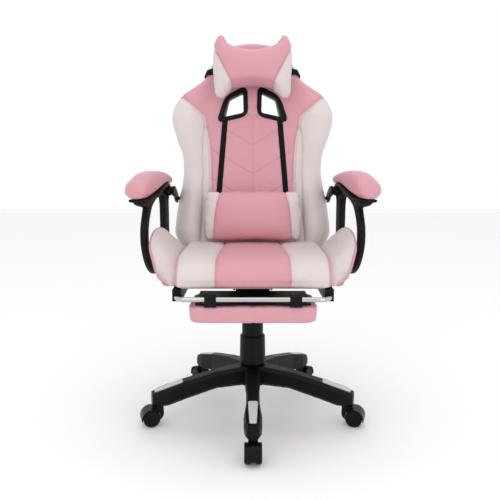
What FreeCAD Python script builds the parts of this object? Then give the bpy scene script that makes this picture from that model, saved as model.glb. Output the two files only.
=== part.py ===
"""Gaming chair: a five-legged swivel chair with a footrest, a reclining back and armrests linked to it.

Millimetres, +Z up, front towards -Y, user's left towards +X, origin on the floor at the gas lift's axis.
"""
import FreeCAD, Part
import math
import os
import re
import Sketcher

Vector = FreeCAD.Vector
Rotation = FreeCAD.Rotation
Placement = FreeCAD.Placement
X_AXIS = Vector(1, 0, 0)
Y_AXIS = Vector(0, 1, 0)
Z_AXIS = Vector(0, 0, 1)
LEGS = 5
SIDES = {"right": -1, "left": 1}

SIZES = {
    # base and casters
    "tip_radius": 315,
    "swivel_radius": 299,
    "hub_radius": 42,
    "hub_bottom": 96,
    "hub_top": 156,
    "tip_bottom": 60,
    "inlay_thickness": 2.5,
    "wheel_radius": 25,
    "wheel_thickness": 17,
    "wheel_gap": 12,
    "wheel_trail": 20,
    "fender_radius": 30,
    "hood_width": 46,
    "stem_radius": 5.5,
    "axle_radius": 4,
    "running_gap": 0.06,
    # gas lift
    "cylinder_radius": 25,
    "cylinder_top": 288,
    "piston_radius": 14,
    "piston_top": 404,
    "lower_cover_radius": 40,
    "lower_cover_top": 250,
    "upper_cover_radius": 32.5,
    "upper_cover_bottom": 243,
    # mechanism
    "housing_bottom": 398,
    "housing_half_width": 50,
    "boss_bottom": 380,
    "tilt_pin_y": -55,
    "tilt_pin_z": 416,
    "tilt_pin_radius": 5,
    "lever_height": 402,
    # seat
    "plate_bottom": 434,
    "board_bottom": 444,
    "board_thickness": 12,
    "cushion_half_width": 205,
    "cushion_front": -250,
    "cushion_back": 104,
    "cushion_top": 527,
    "cushion_bottom": 447,
    # footrest
    "rod_radius": 6.5,
    "rod_height": 425,
    "rod_front": -276,
    "rod_spread": 200,
    "pad_half_width": 160,
    "pad_depth": 176,
    # recline and armrest linkage
    "recline_y": 150,
    "recline_z": 460,
    "arm_pivot_y": 60,
    "arm_pivot_z": 488,
    "link_pin_y": 75,
    "link_pin_z": 690,
    "bolt_radius": 6,
    "arm_centre_x": 288,
    "arm_yaw": 10,
    "arm_thickness": 16,
    "link_inner_x": 244,
    "link_outer_x": 252,
    # back, in its own leaning frame: depth behind the front face, height along it
    "back_lean": 10,
    "back_foot_y": 110,
    "back_foot_z": 500,
    "back_thickness": 85,
    "frame_tube_radius": 11,
    "frame_spread": 196,
    "strap_thickness": 2,
}

doc = FreeCAD.newDocument("gaming_chair")
sheet = doc.addObject("Spreadsheet::Sheet", "Sizes")
for row, (alias, value) in enumerate(SIZES.items(), start=1):
    sheet.set(f"A{row}", alias)
    sheet.set(f"B{row}", str(value))
    sheet.setAlias(f"B{row}", alias)
doc.recompute()


def ref(expression):
    """The same expression with each alias of the sheet written as Sizes.alias."""
    word = re.compile(r"[A-Za-z_]\w*")
    return word.sub(lambda m: "Sizes." + m[0] if m[0] in SIZES else m[0], str(expression))


def size(expression):
    """The value of an expression in the sheet's aliases."""
    return float(sheet.evalExpression(ref(expression).replace("Sizes.", "")))


def bind(obj, **properties):
    for name, expression in properties.items():
        obj.setExpression(name, ref(expression))
    return obj


def at(x=0.0, y=0.0, z=0.0, rotation=None):
    return Placement(Vector(x, y, z), rotation or Rotation())


# ---------------------------------------------------------------- PartDesign helpers
def body(label, placement=None):
    new = doc.addObject("PartDesign::Body", label)
    new.Label = label
    if placement:
        new.Placement = placement
    return new


def sketch(owner, role, offset=0.0):
    """A sketch on one of the body's own origin planes, moved along that plane's normal."""
    new = owner.newObject("Sketcher::SketchObject", owner.Name + "_sketch")
    plane = [f for f in owner.Origin.OriginFeatures if f.Role == role][0]
    new.AttachmentSupport = [(plane, "")]
    new.MapMode = "FlatFace"
    if offset:
        new.setExpression("AttachmentOffset.Base.z", ref(offset))
    doc.recompute([new])
    return new


def lock(sk, index, position, point):
    """Holds one end of a sketch curve at a point given as two expressions."""
    for kind, coordinate in zip(("DistanceX", "DistanceY"), point):
        number = sk.addConstraint(
            Sketcher.Constraint(kind, -1, 1, index, position, size(coordinate))
        )
        if isinstance(coordinate, str):
            sk.setExpression(f"Constraints[{number}]", ref(coordinate))


def draw(sk, *runs):
    """Draws a closed outline. Each run adds to the last point: one point is a line, two are an arc
    through the first to the second, and more are a smooth curve through them all."""
    here = runs[-1][-1]
    for run in runs:
        path = [Vector(size(x), size(y), 0) for x, y in [here, *run]]
        if len(path) == 2:
            curve = Part.LineSegment(*path)
        elif len(path) == 3:
            curve = Part.Arc(*path)
        else:
            curve = Part.BSplineCurve()
            curve.interpolate(path)
        index = sk.addGeometry(curve, False)
        forward = sk.getPoint(index, 1).distanceToPoint(path[0]) < 1e-6
        start, end = (1, 2) if forward else (2, 1)
        lock(sk, index, start, here)
        lock(sk, index, end, run[-1])
        here = run[-1]


def polygon(sk, points):
    draw(sk, *[[p] for p in points])


def ring(sk, centre, radius):
    index = sk.addGeometry(Part.Circle(Vector(*map(size, centre), 0), Z_AXIS, size(radius)), False)
    lock(sk, index, 3, centre)
    number = sk.addConstraint(Sketcher.Constraint("Radius", index, size(radius)))
    sk.setExpression(f"Constraints[{number}]", ref(radius))


def pad(owner, sk, length, both_ways=False, reverse=False):
    new = owner.newObject("PartDesign::Pad", owner.Name + "_pad")
    new.Profile = sk
    bind(new, Length=length)
    new.Midplane = both_ways
    new.Reversed = reverse
    doc.recompute([new, owner])
    return new


def pocket(owner, sk, length=None, both_ways=False, reverse=False):
    """Cuts, and checks that material was really removed."""
    before = owner.Shape.Volume
    new = owner.newObject("PartDesign::Pocket", owner.Name + "_pocket")
    new.Profile = sk
    if length is None:
        new.Type = "ThroughAll"
    else:
        bind(new, Length=length)
    new.Midplane = both_ways
    new.Reversed = reverse
    doc.recompute([new, owner])
    if not owner.Shape.Volume < before - 1:
        raise RuntimeError(f"{new.Name} cuts nothing")
    return new


def turned(owner, sk, axis="V_Axis"):
    new = owner.newObject("PartDesign::Revolution", owner.Name + "_turned")
    new.Profile = sk
    new.ReferenceAxis = (sk, [axis])
    new.Angle = 360
    doc.recompute([new, owner])
    return new


def round_edges(owner, radius, chosen):
    """Fillets the edges of the body's tip that the test picks."""
    tip = owner.Tip
    names = [f"Edge{i}" for i, e in enumerate(tip.Shape.Edges, start=1) if chosen(e)]
    new = owner.newObject("PartDesign::Fillet", owner.Name + "_fillet")
    new.Base = (tip, names)
    new.Radius = radius
    doc.recompute([new, owner])
    return new


def on_plane(axis, value):
    """Picks the edges that lie in the plane where the axis has that value."""
    return lambda e: all(abs(getattr(p, axis) - value) < 0.01 for p in e.discretize(5))


# ---------------------------------------------------------------- Part helpers
def box(name, x, y, z):
    """A box from its lowest to its highest expression along each axis."""
    new = doc.addObject("Part::Box", name)
    bind(new, Length=f"({x[1]}) - ({x[0]})", Width=f"({y[1]}) - ({y[0]})", Height=f"({z[1]}) - ({z[0]})")
    new.Placement = at(size(x[0]), size(y[0]), size(z[0]))
    return new


def rod(name, radius, length, centre, direction=Z_AXIS):
    """A cylinder that starts at centre and runs along direction."""
    new = doc.addObject("Part::Cylinder", name)
    bind(new, Radius=radius, Height=length)
    new.Placement = Placement(Vector(*map(size, centre)), Rotation(Z_AXIS, direction))
    return new


def joined(label, shapes):
    new = doc.addObject("Part::MultiFuse", label)
    new.Label = label
    new.Shapes = shapes
    return new


def cut(label, base, tool):
    new = doc.addObject("Part::Cut", label)
    new.Label = label
    new.Base = base
    new.Tool = tool
    return new


def group(label, shapes):
    """Separate solids in one node."""
    new = doc.addObject("Part::Compound", label)
    new.Label = label
    new.Links = shapes
    return new


nodes = {}


def keep(obj):
    nodes[obj.Label] = obj
    return obj


# ---------------------------------------------------------------- base
# Leg sections: distance from the axis, half-width at the shoulders, bottom, top.
LEG_SECTIONS = [
    (34, 24, "hub_bottom", "hub_top"),
    (120, 19, 94, 147),
    (215, 19, 72, 128),
    (268, 25, 61, 113.3),
    (297, 23, "tip_bottom", 105.4),
    ("tip_radius", 17, "tip_bottom", 99),
]
SLOPE_START = (215, 128)
SLOPE_END = (297, 105.4)
INLAY_SLOPE = math.degrees(math.atan2(SLOPE_START[1] - SLOPE_END[1], SLOPE_END[0] - SLOPE_START[0]))
INLAY_END = 306


def make_star_base():
    base = body("star_base")
    hub = sketch(base, "XZ_Plane")
    polygon(hub, [(0, "hub_bottom"), ("hub_radius", "hub_bottom"), ("hub_radius", "hub_top"), (0, "hub_top")])
    turned(base, hub)
    leg = base.newObject("PartDesign::AdditiveLoft", "leg")
    sections = []
    for reach, half, low, high in LEG_SECTIONS:
        section = sketch(base, "XZ_Plane", reach)
        polygon(section, [
            (half - 7, low), (half, f"{low} + 9"), (half, f"{high} - 12"), (half - 5, high),
            (5 - half, high), (-half, f"{high} - 12"), (-half, f"{low} + 9"), (7 - half, low),
        ])
        sections.append(section)
    leg.Profile = sections[0]
    leg.Sections = sections[1:]
    leg.Ruled = True
    doc.recompute([leg])
    legs = base.newObject("PartDesign::PolarPattern", "legs")
    legs.Originals = [leg]
    legs.Axis = ([f for f in base.Origin.OriginFeatures if f.Role == "Z_Axis"][0], [""])
    legs.Angle = 360
    legs.Occurrences = LEGS
    base.Tip = legs
    doc.recompute([legs, base])
    bore = sketch(base, "XY_Plane")
    ring(bore, (0, 0), "cylinder_radius + running_gap")
    pocket(base, bore, both_ways=True)
    sockets = sketch(base, "XY_Plane", "tip_bottom - 1")
    for leg_number in range(LEGS):
        angle = math.radians(360 / LEGS * leg_number - 90)
        centre = (f"swivel_radius * {math.cos(angle)}", f"swivel_radius * {math.sin(angle)}")
        ring(sockets, centre, "stem_radius + running_gap")
    pocket(base, sockets, length=37, reverse=True)
    return keep(base)


def make_inlays():
    """Tapered plates on the sloping tops of the legs, wider towards the hub."""
    plates = []
    for number in range(LEGS):
        turn = Rotation(Z_AXIS, 360 / LEGS * number)
        plate = body(f"inlay_{number + 1}")
        outline = sketch(plate, "XY_Plane")
        draw(
            outline,
            [(6, 0)], [(8.4, 1), (9.4, 4)], [(13.4, 80)], [(12, 85), (8, 87)],
            [(-8, 87)], [(-12, 85), (-13.4, 80)], [(-9.4, 4)], [(-8.4, 1), (-6, 0)],
        )
        pad(plate, outline, "inlay_thickness")
        drop = (INLAY_END - SLOPE_START[0]) * math.tan(math.radians(INLAY_SLOPE))
        low_end = Vector(0, -INLAY_END, SLOPE_START[1] - drop)
        slope = Rotation(X_AXIS, INLAY_SLOPE)
        plate.Placement = Placement(turn.multVec(low_end), turn.multiply(slope))
        plates.append(plate)
    return keep(group("base_inlays", plates))


def make_caster(number):
    """A twin-wheel caster: its swivel axis is its own Z axis, and its wheels trail outwards along -Y."""
    turn = Rotation(Z_AXIS, 360 / LEGS * (number - 1))
    place = Placement(turn.multVec(Vector(0, -size("swivel_radius"), 0)), turn)
    axle = ("-wheel_trail", "wheel_radius")

    hood = body(f"caster_{number}_hood", place)
    block = sketch(hood, "YZ_Plane")
    block_top = "tip_bottom - 1"
    draw(block, [(16, block_top)], [(17, 38)], [(14, 27), (4, 17)], [(-12, 17)], [(-12, block_top)])
    pad(hood, block, 26, both_ways=True)
    wheel_well = sketch(hood, "YZ_Plane")
    ring(wheel_well, axle, "wheel_radius + 1.4")
    pocket(hood, wheel_well, both_ways=True)
    web = sketch(hood, "YZ_Plane")
    ring(web, axle, "wheel_radius - 4")
    pad(hood, web, "wheel_gap - 2", both_ways=True)
    fender = sketch(hood, "YZ_Plane")
    inner, outer = size("wheel_radius + 1.4"), size("fender_radius")
    trail, height = size("wheel_trail"), size("wheel_radius")

    def on_arc(radius, degrees):
        angle = math.radians(degrees)
        return (-trail + radius * math.cos(angle), height + radius * math.sin(angle))

    draw(
        fender,
        [on_arc(outer, 115), on_arc(outer, 190)], [on_arc(inner, 190)],
        [on_arc(inner, 115), on_arc(inner, 40)], [on_arc(outer, 40)],
    )
    pad(hood, fender, "hood_width", both_ways=True)
    rib = sketch(hood, "YZ_Plane")
    draw(
        rib,
        [on_arc(inner + 1, 115), on_arc(inner + 1, 190)], [on_arc(18, 190)],
        [on_arc(18, 115), on_arc(18, 40)], [on_arc(inner + 1, 40)],
    )
    pad(hood, rib, "wheel_gap - 2", both_ways=True)
    stem_hole = sketch(hood, "XY_Plane", "tip_bottom - 1")
    ring(stem_hole, (0, 0), "stem_radius + 0.02")
    pocket(hood, stem_hole, length=10)
    axle_hole = sketch(hood, "YZ_Plane")
    ring(axle_hole, axle, "axle_radius + 0.02")
    pocket(hood, axle_hole, both_ways=True)
    keep(hood)

    wheel_offset = size("wheel_gap / 2")
    stem = rod(f"stem_{number}", "stem_radius", 44, (0, 0, "tip_bottom - 10.9"))
    half_axle = size("wheel_gap / 2 + wheel_thickness - 1")
    shaft = rod(f"axle_{number}", "axle_radius", 2 * half_axle, (-half_axle, *axle), X_AXIS)
    for piece in (stem, shaft):
        piece.Placement = place.multiply(piece.Placement)
    keep(group(f"caster_{number}_pins", [stem, shaft]))

    for name, side in (("a", -1), ("b", 1)):
        wheel = body(f"caster_{number}_wheel_{name}")
        profile = sketch(wheel, "XZ_Plane")
        inner_radius = "axle_radius + running_gap"
        draw(
            profile,
            [(inner_radius, 0)], [("wheel_radius - 2", 0)], [("wheel_radius", 2)],
            [("wheel_radius", "wheel_thickness - 5")],
            [("wheel_radius - 1.5", "wheel_thickness - 1.5"), ("wheel_radius - 5", "wheel_thickness")],
            [(inner_radius, "wheel_thickness")],
        )
        turned(wheel, profile)
        outward = Rotation(Z_AXIS, Vector(side, 0, 0))
        local = Placement(Vector(side * wheel_offset, -trail, height), outward)
        wheel.Placement = place.multiply(local)
        keep(wheel)


# ---------------------------------------------------------------- gas lift and mechanism
def tube(label, radius, bottom, top, inner):
    new = body(label)
    profile = sketch(new, "XZ_Plane")
    polygon(profile, [(inner, bottom), (radius, bottom), (radius, top), (inner, top)])
    turned(new, profile)
    return keep(new)


def make_lift():
    cylinder = body("gas_cylinder")
    profile = sketch(cylinder, "XZ_Plane")
    bore = "piston_radius + running_gap"
    polygon(profile, [
        (0, 62), ("cylinder_radius - 3", 62), ("cylinder_radius", 90), ("cylinder_radius", "cylinder_top"),
        (bore, "cylinder_top"), (bore, 72), (0, 72),
    ])
    turned(cylinder, profile)
    keep(cylinder)

    cover = body("lower_dust_cover")
    profile = sketch(cover, "XZ_Plane")
    inside = "cylinder_radius + 0.5"
    draw(
        profile,
        [("lower_cover_radius - 5", "hub_top")], [("lower_cover_radius", "hub_top + 8")],
        [("lower_cover_radius - 1.5", "lower_cover_top - 3")],
        [("lower_cover_radius - 4", "lower_cover_top")],
        [("upper_cover_radius + 0.6", "lower_cover_top")], [("upper_cover_radius + 0.6", "hub_top + 4")],
        [(inside, "hub_top + 4")], [(inside, "hub_top")],
    )
    turned(cover, profile)
    keep(cover)

    keep_piston = rod("gas_piston", "piston_radius", "piston_top - 160", (0, 0, 160))
    keep_piston.Label = "gas_piston"
    keep(keep_piston)
    radius = "upper_cover_radius"
    tube("upper_dust_cover", radius, "upper_cover_bottom", "boss_bottom", f"{radius} - 3")


def make_mechanism():
    """The housing under the seat: a low casting with a boss round the piston, bored for the tilt pin."""
    housing = body("mechanism_housing")
    side = sketch(housing, "YZ_Plane")
    polygon(side, [
        (-72, "housing_bottom"), (50, "housing_bottom"), (50, 407), (-30, 424),
        ("tilt_pin_y + 10", 427), ("tilt_pin_y - 10", 427), (-72, 420),
    ])
    pad(housing, side, "2 * housing_half_width", both_ways=True)
    boss = sketch(housing, "XY_Plane", "boss_bottom")
    ring(boss, (0, 0), 30)
    pad(housing, boss, "housing_bottom - boss_bottom + 1")
    bore = sketch(housing, "XY_Plane", "boss_bottom - 1")
    ring(bore, (0, 0), "piston_radius + running_gap")
    pocket(housing, bore, length="piston_top - boss_bottom + 1.5", reverse=True)
    pin_bore = sketch(housing, "YZ_Plane")
    ring(pin_bore, ("tilt_pin_y", "tilt_pin_z"), "tilt_pin_radius + running_gap")
    pocket(housing, pin_bore, both_ways=True)
    keep(housing)
    pin = rod("tilt_pin", "tilt_pin_radius", 134, (-67, "tilt_pin_y", "tilt_pin_z"), X_AXIS)
    pin.Label = "tilt_pin"
    keep(pin)

    knob = body("tension_knob", at(0, -57, 0))
    profile = sketch(knob, "XZ_Plane")
    draw(
        profile,
        [(20, 366)], [(22, 368)], [(22, 386)], [(18, 391), (9, 393)],
        [(9, "housing_bottom - 0.5")], [(0, "housing_bottom - 0.5")], [(0, 366)],
    )
    turned(knob, profile)
    grips = sketch(knob, "XY_Plane", 365)
    ring(grips, (22.5, 0), 3)
    flute = pocket(knob, grips, length=22, reverse=True)
    flutes = knob.newObject("PartDesign::PolarPattern", "flutes")
    flutes.Originals = [flute]
    flutes.Axis = ([f for f in knob.Origin.OriginFeatures if f.Role == "Z_Axis"][0], [""])
    flutes.Angle = 360
    flutes.Occurrences = 10
    knob.Tip = flutes
    keep(knob)

    arm = rod("lever_rod", 4, 130, (-183, 22, "lever_height"), X_AXIS)
    paddle = body("lever_paddle")
    outline = sketch(paddle, "XY_Plane", "lever_height - 5")
    draw(
        outline,
        [(-206, 9)], [(-234, 8)], [(-241, 22), (-234, 36)], [(-206, 35)], [(-176, 30)], [(-176, 14)],
    )
    pad(paddle, outline, 10)
    keep(joined("height_lever", [arm, paddle]))


# ---------------------------------------------------------------- seat
def make_seat_structure():
    plate = box("seat_plate_flat", (-100, 100), (-85, 85), ("plate_bottom", "plate_bottom + 5"))
    spacer = box("seat_plate_rise", (-95, 95), (-80, 80), ("plate_bottom + 5", "board_bottom"))
    ears = []
    for side in (-1, 1):
        inner, outer = sorted((side * 52, side * 58))
        ears.append(box(f"tilt_ear_{side + 2}", (inner, outer), (-67, -43), (404, "plate_bottom")))
    solid = joined("seat_plate_solid", [plate, spacer, *ears])
    pin_line = (-70, "tilt_pin_y", "tilt_pin_z")
    holes = [rod("tilt_ear_bore", "tilt_pin_radius + running_gap", 140, pin_line, X_AXIS)]
    corners = [(x, y) for x in (-80, 80) for y in (-65, 65)]
    for number, (x, y) in enumerate(corners):
        holes.append(rod(f"seat_plate_hole_{number}", 4.3, 30, (x, y, "plate_bottom - 10")))
    keep(cut("seat_plate", solid, joined("seat_plate_holes", holes)))

    bolts = []
    for number, (x, y) in enumerate(corners):
        head = rod(f"seat_bolt_head_{number}", 7, 5, (x, y, "plate_bottom - 5"))
        shank = rod(f"seat_bolt_shank_{number}", 4, 20, (x, y, "plate_bottom - 1"))
        bolts.append(joined(f"seat_bolt_{number}", [head, shank]))
    keep(group("seat_bolts", bolts))

    thick = ("board_bottom", "board_bottom + board_thickness")
    board = box("seat_board_blank", (-190, 190), (-232, 98), thick)
    board_holes = []
    for number, (x, y) in enumerate(corners):
        board_holes.append(rod(f"board_hole_{number}", 4.3, 20, (x, y, "board_bottom - 1")))
    keep(cut("seat_board", board, joined("board_holes", board_holes)))

    cushion = body("cushion_block")
    side = sketch(cushion, "YZ_Plane")
    front, back, top = "cushion_front", "cushion_back", "cushion_top"
    draw(
        side,
        [(f"{back} - 10", "cushion_bottom")],
        [(back, "cushion_bottom + 10")],
        [(f"{back} - 4", f"{top} - 14")],
        [(f"{back} - 9", f"{top} - 4"), (f"{back} - 22", top)], [("-60", top), ("-205", f"{top} - 7")],
        [(f"{front} + 14", f"{top} - 20"), (front, f"{top} - 48")], [(f"{front} + 3", "cushion_bottom")],
    )
    pad(cushion, side, "2 * cushion_half_width", both_ways=True)
    room_height = (440, "board_bottom + board_thickness + 0.3")
    hollow = box("board_room", (-190.3, 190.3), (-232.3, 98.3), room_height)
    keep(cut("seat_cushion", cushion, hollow))


# Wing sections: y, then the outline at that y as (outward, up) points from the inner bottom corner round.
WING_SECTIONS = [
    (-218, [(207, 446), (236, 446), (243, 452), (240, 462), (222, 474), (207, 466)]),
    (-180, [(207, 446), (246, 446), (266, 484), (258, 496), (236, 503), (207, 492)]),
    (-140, [(207, 446), (252, 446), (289, 553), (281, 562), (248, 530), (207, 505)]),
    (-95, [(207, 446), (254, 446), (286, 574), (277, 584), (245, 548), (207, 512)]),
    (-50, [(207, 446), (254, 446), (280, 578), (269, 590), (240, 560), (207, 516)]),
    (-5, [(207, 446), (250, 446), (264, 548), (248, 562), (230, 548), (207, 518)]),
    (40, [(207, 446), (234, 446), (232, 512), (222, 522), (214, 521), (207, 514)]),
]


def make_bolster(name, sign):
    wing = body(f"seat_bolster_{name}")
    sections = []
    for reach, outline in WING_SECTIONS:
        section = sketch(wing, "XZ_Plane", -reach)
        polygon(section, [(sign * x, z) for x, z in outline])
        sections.append(section)
    loft = wing.newObject("PartDesign::AdditiveLoft", f"wing_{name}")
    loft.Profile = sections[0]
    loft.Sections = sections[1:]
    loft.Ruled = True
    doc.recompute([loft, wing])
    keep(wing)


# ---------------------------------------------------------------- footrest
def make_footrest():
    guides = []
    for side in (-1, 1):
        inner, outer = sorted((side * 188, side * 212))
        block = box(f"guide_block_{side + 2}", (inner, outer), (-245, -90), (413, "board_bottom"))
        mouth = (f"{side} * rod_spread", -260, "rod_height")
        bore = rod(f"guide_bore_{side + 2}", "rod_radius + 0.1", 200, mouth, Y_AXIS)
        guides.append(cut(f"guide_{side + 2}", block, bore))
    keep(group("footrest_guides", guides))

    bar = body("footrest_rod")
    path = sketch(bar, "XY_Plane", "rod_height")
    bend = 28
    corner = bend * (1 - math.sqrt(0.5))
    runs = [
        ("-rod_spread", -5),
        ("-rod_spread", f"rod_front + {bend}"),
        (f"-rod_spread + {corner}", f"rod_front + {corner}"),
        (f"-rod_spread + {bend}", "rod_front"),
        (f"rod_spread - {bend}", "rod_front"),
        (f"rod_spread - {corner}", f"rod_front + {corner}"),
        ("rod_spread", f"rod_front + {bend}"),
        ("rod_spread", -5),
    ]
    points = [Vector(size(x), size(y), 0) for x, y in runs]
    curves = [
        (Part.LineSegment(points[0], points[1]), 0, 1),
        (Part.Arc(points[1], points[2], points[3]), 1, 3),
        (Part.LineSegment(points[3], points[4]), 3, 4),
        (Part.Arc(points[4], points[5], points[6]), 4, 6),
        (Part.LineSegment(points[6], points[7]), 6, 7),
    ]
    for curve, first, last in curves:
        index = path.addGeometry(curve, False)
        forward = path.getPoint(index, 1).distanceToPoint(points[first]) < 1e-6
        start, end = (1, 2) if forward else (2, 1)
        lock(path, index, start, runs[first])
        lock(path, index, end, runs[last])
    section = sketch(bar, "XZ_Plane", 5)
    ring(section, ("-rod_spread", "rod_height"), "rod_radius")
    doc.recompute([path, section])
    pipe = bar.newObject("PartDesign::AdditivePipe", "footrest_rod_pipe")
    pipe.Profile = section
    pipe.Spine = (path, [f"Edge{i}" for i in range(1, 6)])
    doc.recompute([pipe, bar])
    keep(bar)

    board = box("board_flat", (-150, 150), ("rod_front + 12", "rod_front + pad_depth - 6"), (407, 411))
    clips = [
        box(f"clip_{x}", (x - 15, x + 15), ("rod_front - 10", "rod_front + 20"), (407, "rod_height + 10"))
        for x in (-110, 110)
    ]
    bore = rod("clip_bore", "rod_radius + 0.1", 400, (-200, "rod_front", "rod_height"), X_AXIS)
    keep(cut("footrest_board", joined("board_and_clips", [board, *clips]), bore))

    cushion = body("footrest_pad")
    plan = sketch(cushion, "XY_Plane", 360)
    front, back, half = "rod_front - 4", "rod_front + pad_depth", "pad_half_width"
    draw(
        plan,
        [(f"{half} - 26", front)], [(f"{half} - 7", f"{front} + 7"), (half, f"{front} + 26")],
        [(half, f"{back} - 46")], [(f"{half} - 13", f"{back} - 13"), (f"{half} - 46", back)],
        [(f"46 - {half}", back)], [(f"13 - {half}", f"{back} - 13"), (f"-{half}", f"{back} - 46")],
        [(f"-{half}", f"{front} + 26")], [(f"7 - {half}", f"{front} + 7"), (f"26 - {half}", front)],
    )
    pad(cushion, plan, 46.5)
    round_edges(cushion, 12, on_plane("z", 360))
    keep(cushion)


# ---------------------------------------------------------------- linkage
def oblong(label, x, start, end, radius):
    """A flat link plate across X, between the expressions in x, with a round end at start and at end."""
    link = body(label)
    profile = sketch(link, "YZ_Plane", x[0])
    first, last = [Vector(size(a), size(b), 0) for a, b in (start, end)]
    along = (last - first).normalize()
    across = Vector(-along.y, along.x, 0)
    reach = size(radius)

    def spot(centre, forward, sideways):
        place = centre + along * (forward * reach) + across * (sideways * reach)
        return (place.x, place.y)

    draw(
        profile,
        [spot(last, 0, -1)], [spot(last, 1, 0), spot(last, 0, 1)],
        [spot(first, 0, 1)], [spot(first, -1, 0), spot(first, 0, -1)],
    )
    pad(link, profile, f"({x[1]}) - ({x[0]})")
    return link


def make_linkage_plates():
    recline = ("recline_y", "recline_z")
    arm_pivot = ("arm_pivot_y", "arm_pivot_z")
    seat_plates, back_plates, arm_brackets, bolts = [], [], [], []
    for name, side in SIDES.items():
        def span(inner, outer):
            return (inner, outer) if side > 0 else (-outer, -inner)

        def bore(label, radius, x, spot):
            return rod(f"{label}_{name}", radius, 40, (side * x - 20, *spot), X_AXIS)

        upright = oblong(f"seat_recline_link_{name}", span(215, 220), (112, "recline_z"), recline, 20)
        foot = box(f"seat_recline_foot_{name}", span(150, 220), (93, 130), (439.5, "board_bottom"))
        solid = joined(f"seat_recline_solid_{name}", [upright, foot])
        hole = bore("seat_recline_bore", "bolt_radius + running_gap", 217, recline)
        seat_plates.append(cut(f"seat_recline_{name}", solid, hole))

        lower = oblong(f"back_recline_link_{name}", span(209, 214), recline, (172, 590), 20)
        hole = bore("back_recline_bore", "bolt_radius + running_gap", 211, recline)
        back_plates.append(cut(f"back_recline_{name}", lower, hole))

        stand = oblong(f"arm_bracket_link_{name}", span(240, 245), (58, 458), arm_pivot, 18)
        foot = box(f"arm_bracket_foot_{name}", span(150, 245), (40, 76), (439.5, "board_bottom"))
        solid = joined(f"arm_bracket_solid_{name}", [stand, foot])
        hole = bore("arm_bracket_bore", "bolt_radius + 0.02", 242, arm_pivot)
        arm_brackets.append(cut(f"arm_bracket_{name}", solid, hole))

        for spot, first, last in ((recline, 201, 222), (arm_pivot, 235, 274)):
            label = f"bolt_{name}_{last}"
            start = size(side * first) if side > 0 else -last
            shank = rod(label + "_shank", "bolt_radius", last - first, (start, *spot), X_AXIS)
            head_start = first if side > 0 else -first - 5
            head = rod(label + "_head", 9.5, 5, (head_start, *spot), X_AXIS)
            bolts.append(joined(label, [shank, head]))
    keep(group("recline_seat_plates", seat_plates))
    keep(group("recline_back_plates", back_plates))
    keep(group("arm_seat_brackets", arm_brackets))
    keep(group("pivot_bolts", bolts))

    lever_disc = rod("lever_disc", 13, 4, (-226.5, *recline), X_AXIS)
    shaft = box("lever_shaft", (-236, -226.5), (90, "recline_y"), (453, 463))
    grip = box("lever_grip", (-238, -226), (80, 108), (448, 466))
    handle = joined("recline_lever_solid", [lever_disc, shaft, grip])
    bore = rod("lever_bore", "bolt_radius + running_gap", 6, (-228, *recline), X_AXIS)
    keep(cut("recline_lever", handle, bore))


def arm_place(side):
    """From the armrest's own side view to its toed-out place: front end further out than the rear."""
    yaw = Rotation(Z_AXIS, side * size("arm_yaw"))
    return at(side * size("arm_centre_x"), 0, 0, yaw)


# The line where the pad sits on the armrest's loop, as (along the armrest, up), from front to rear.
ARM_TOP = [(-166, 675), (-122, 678), (-62, 690), (10, 710), (62, 716), (96, 714)]


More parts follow.
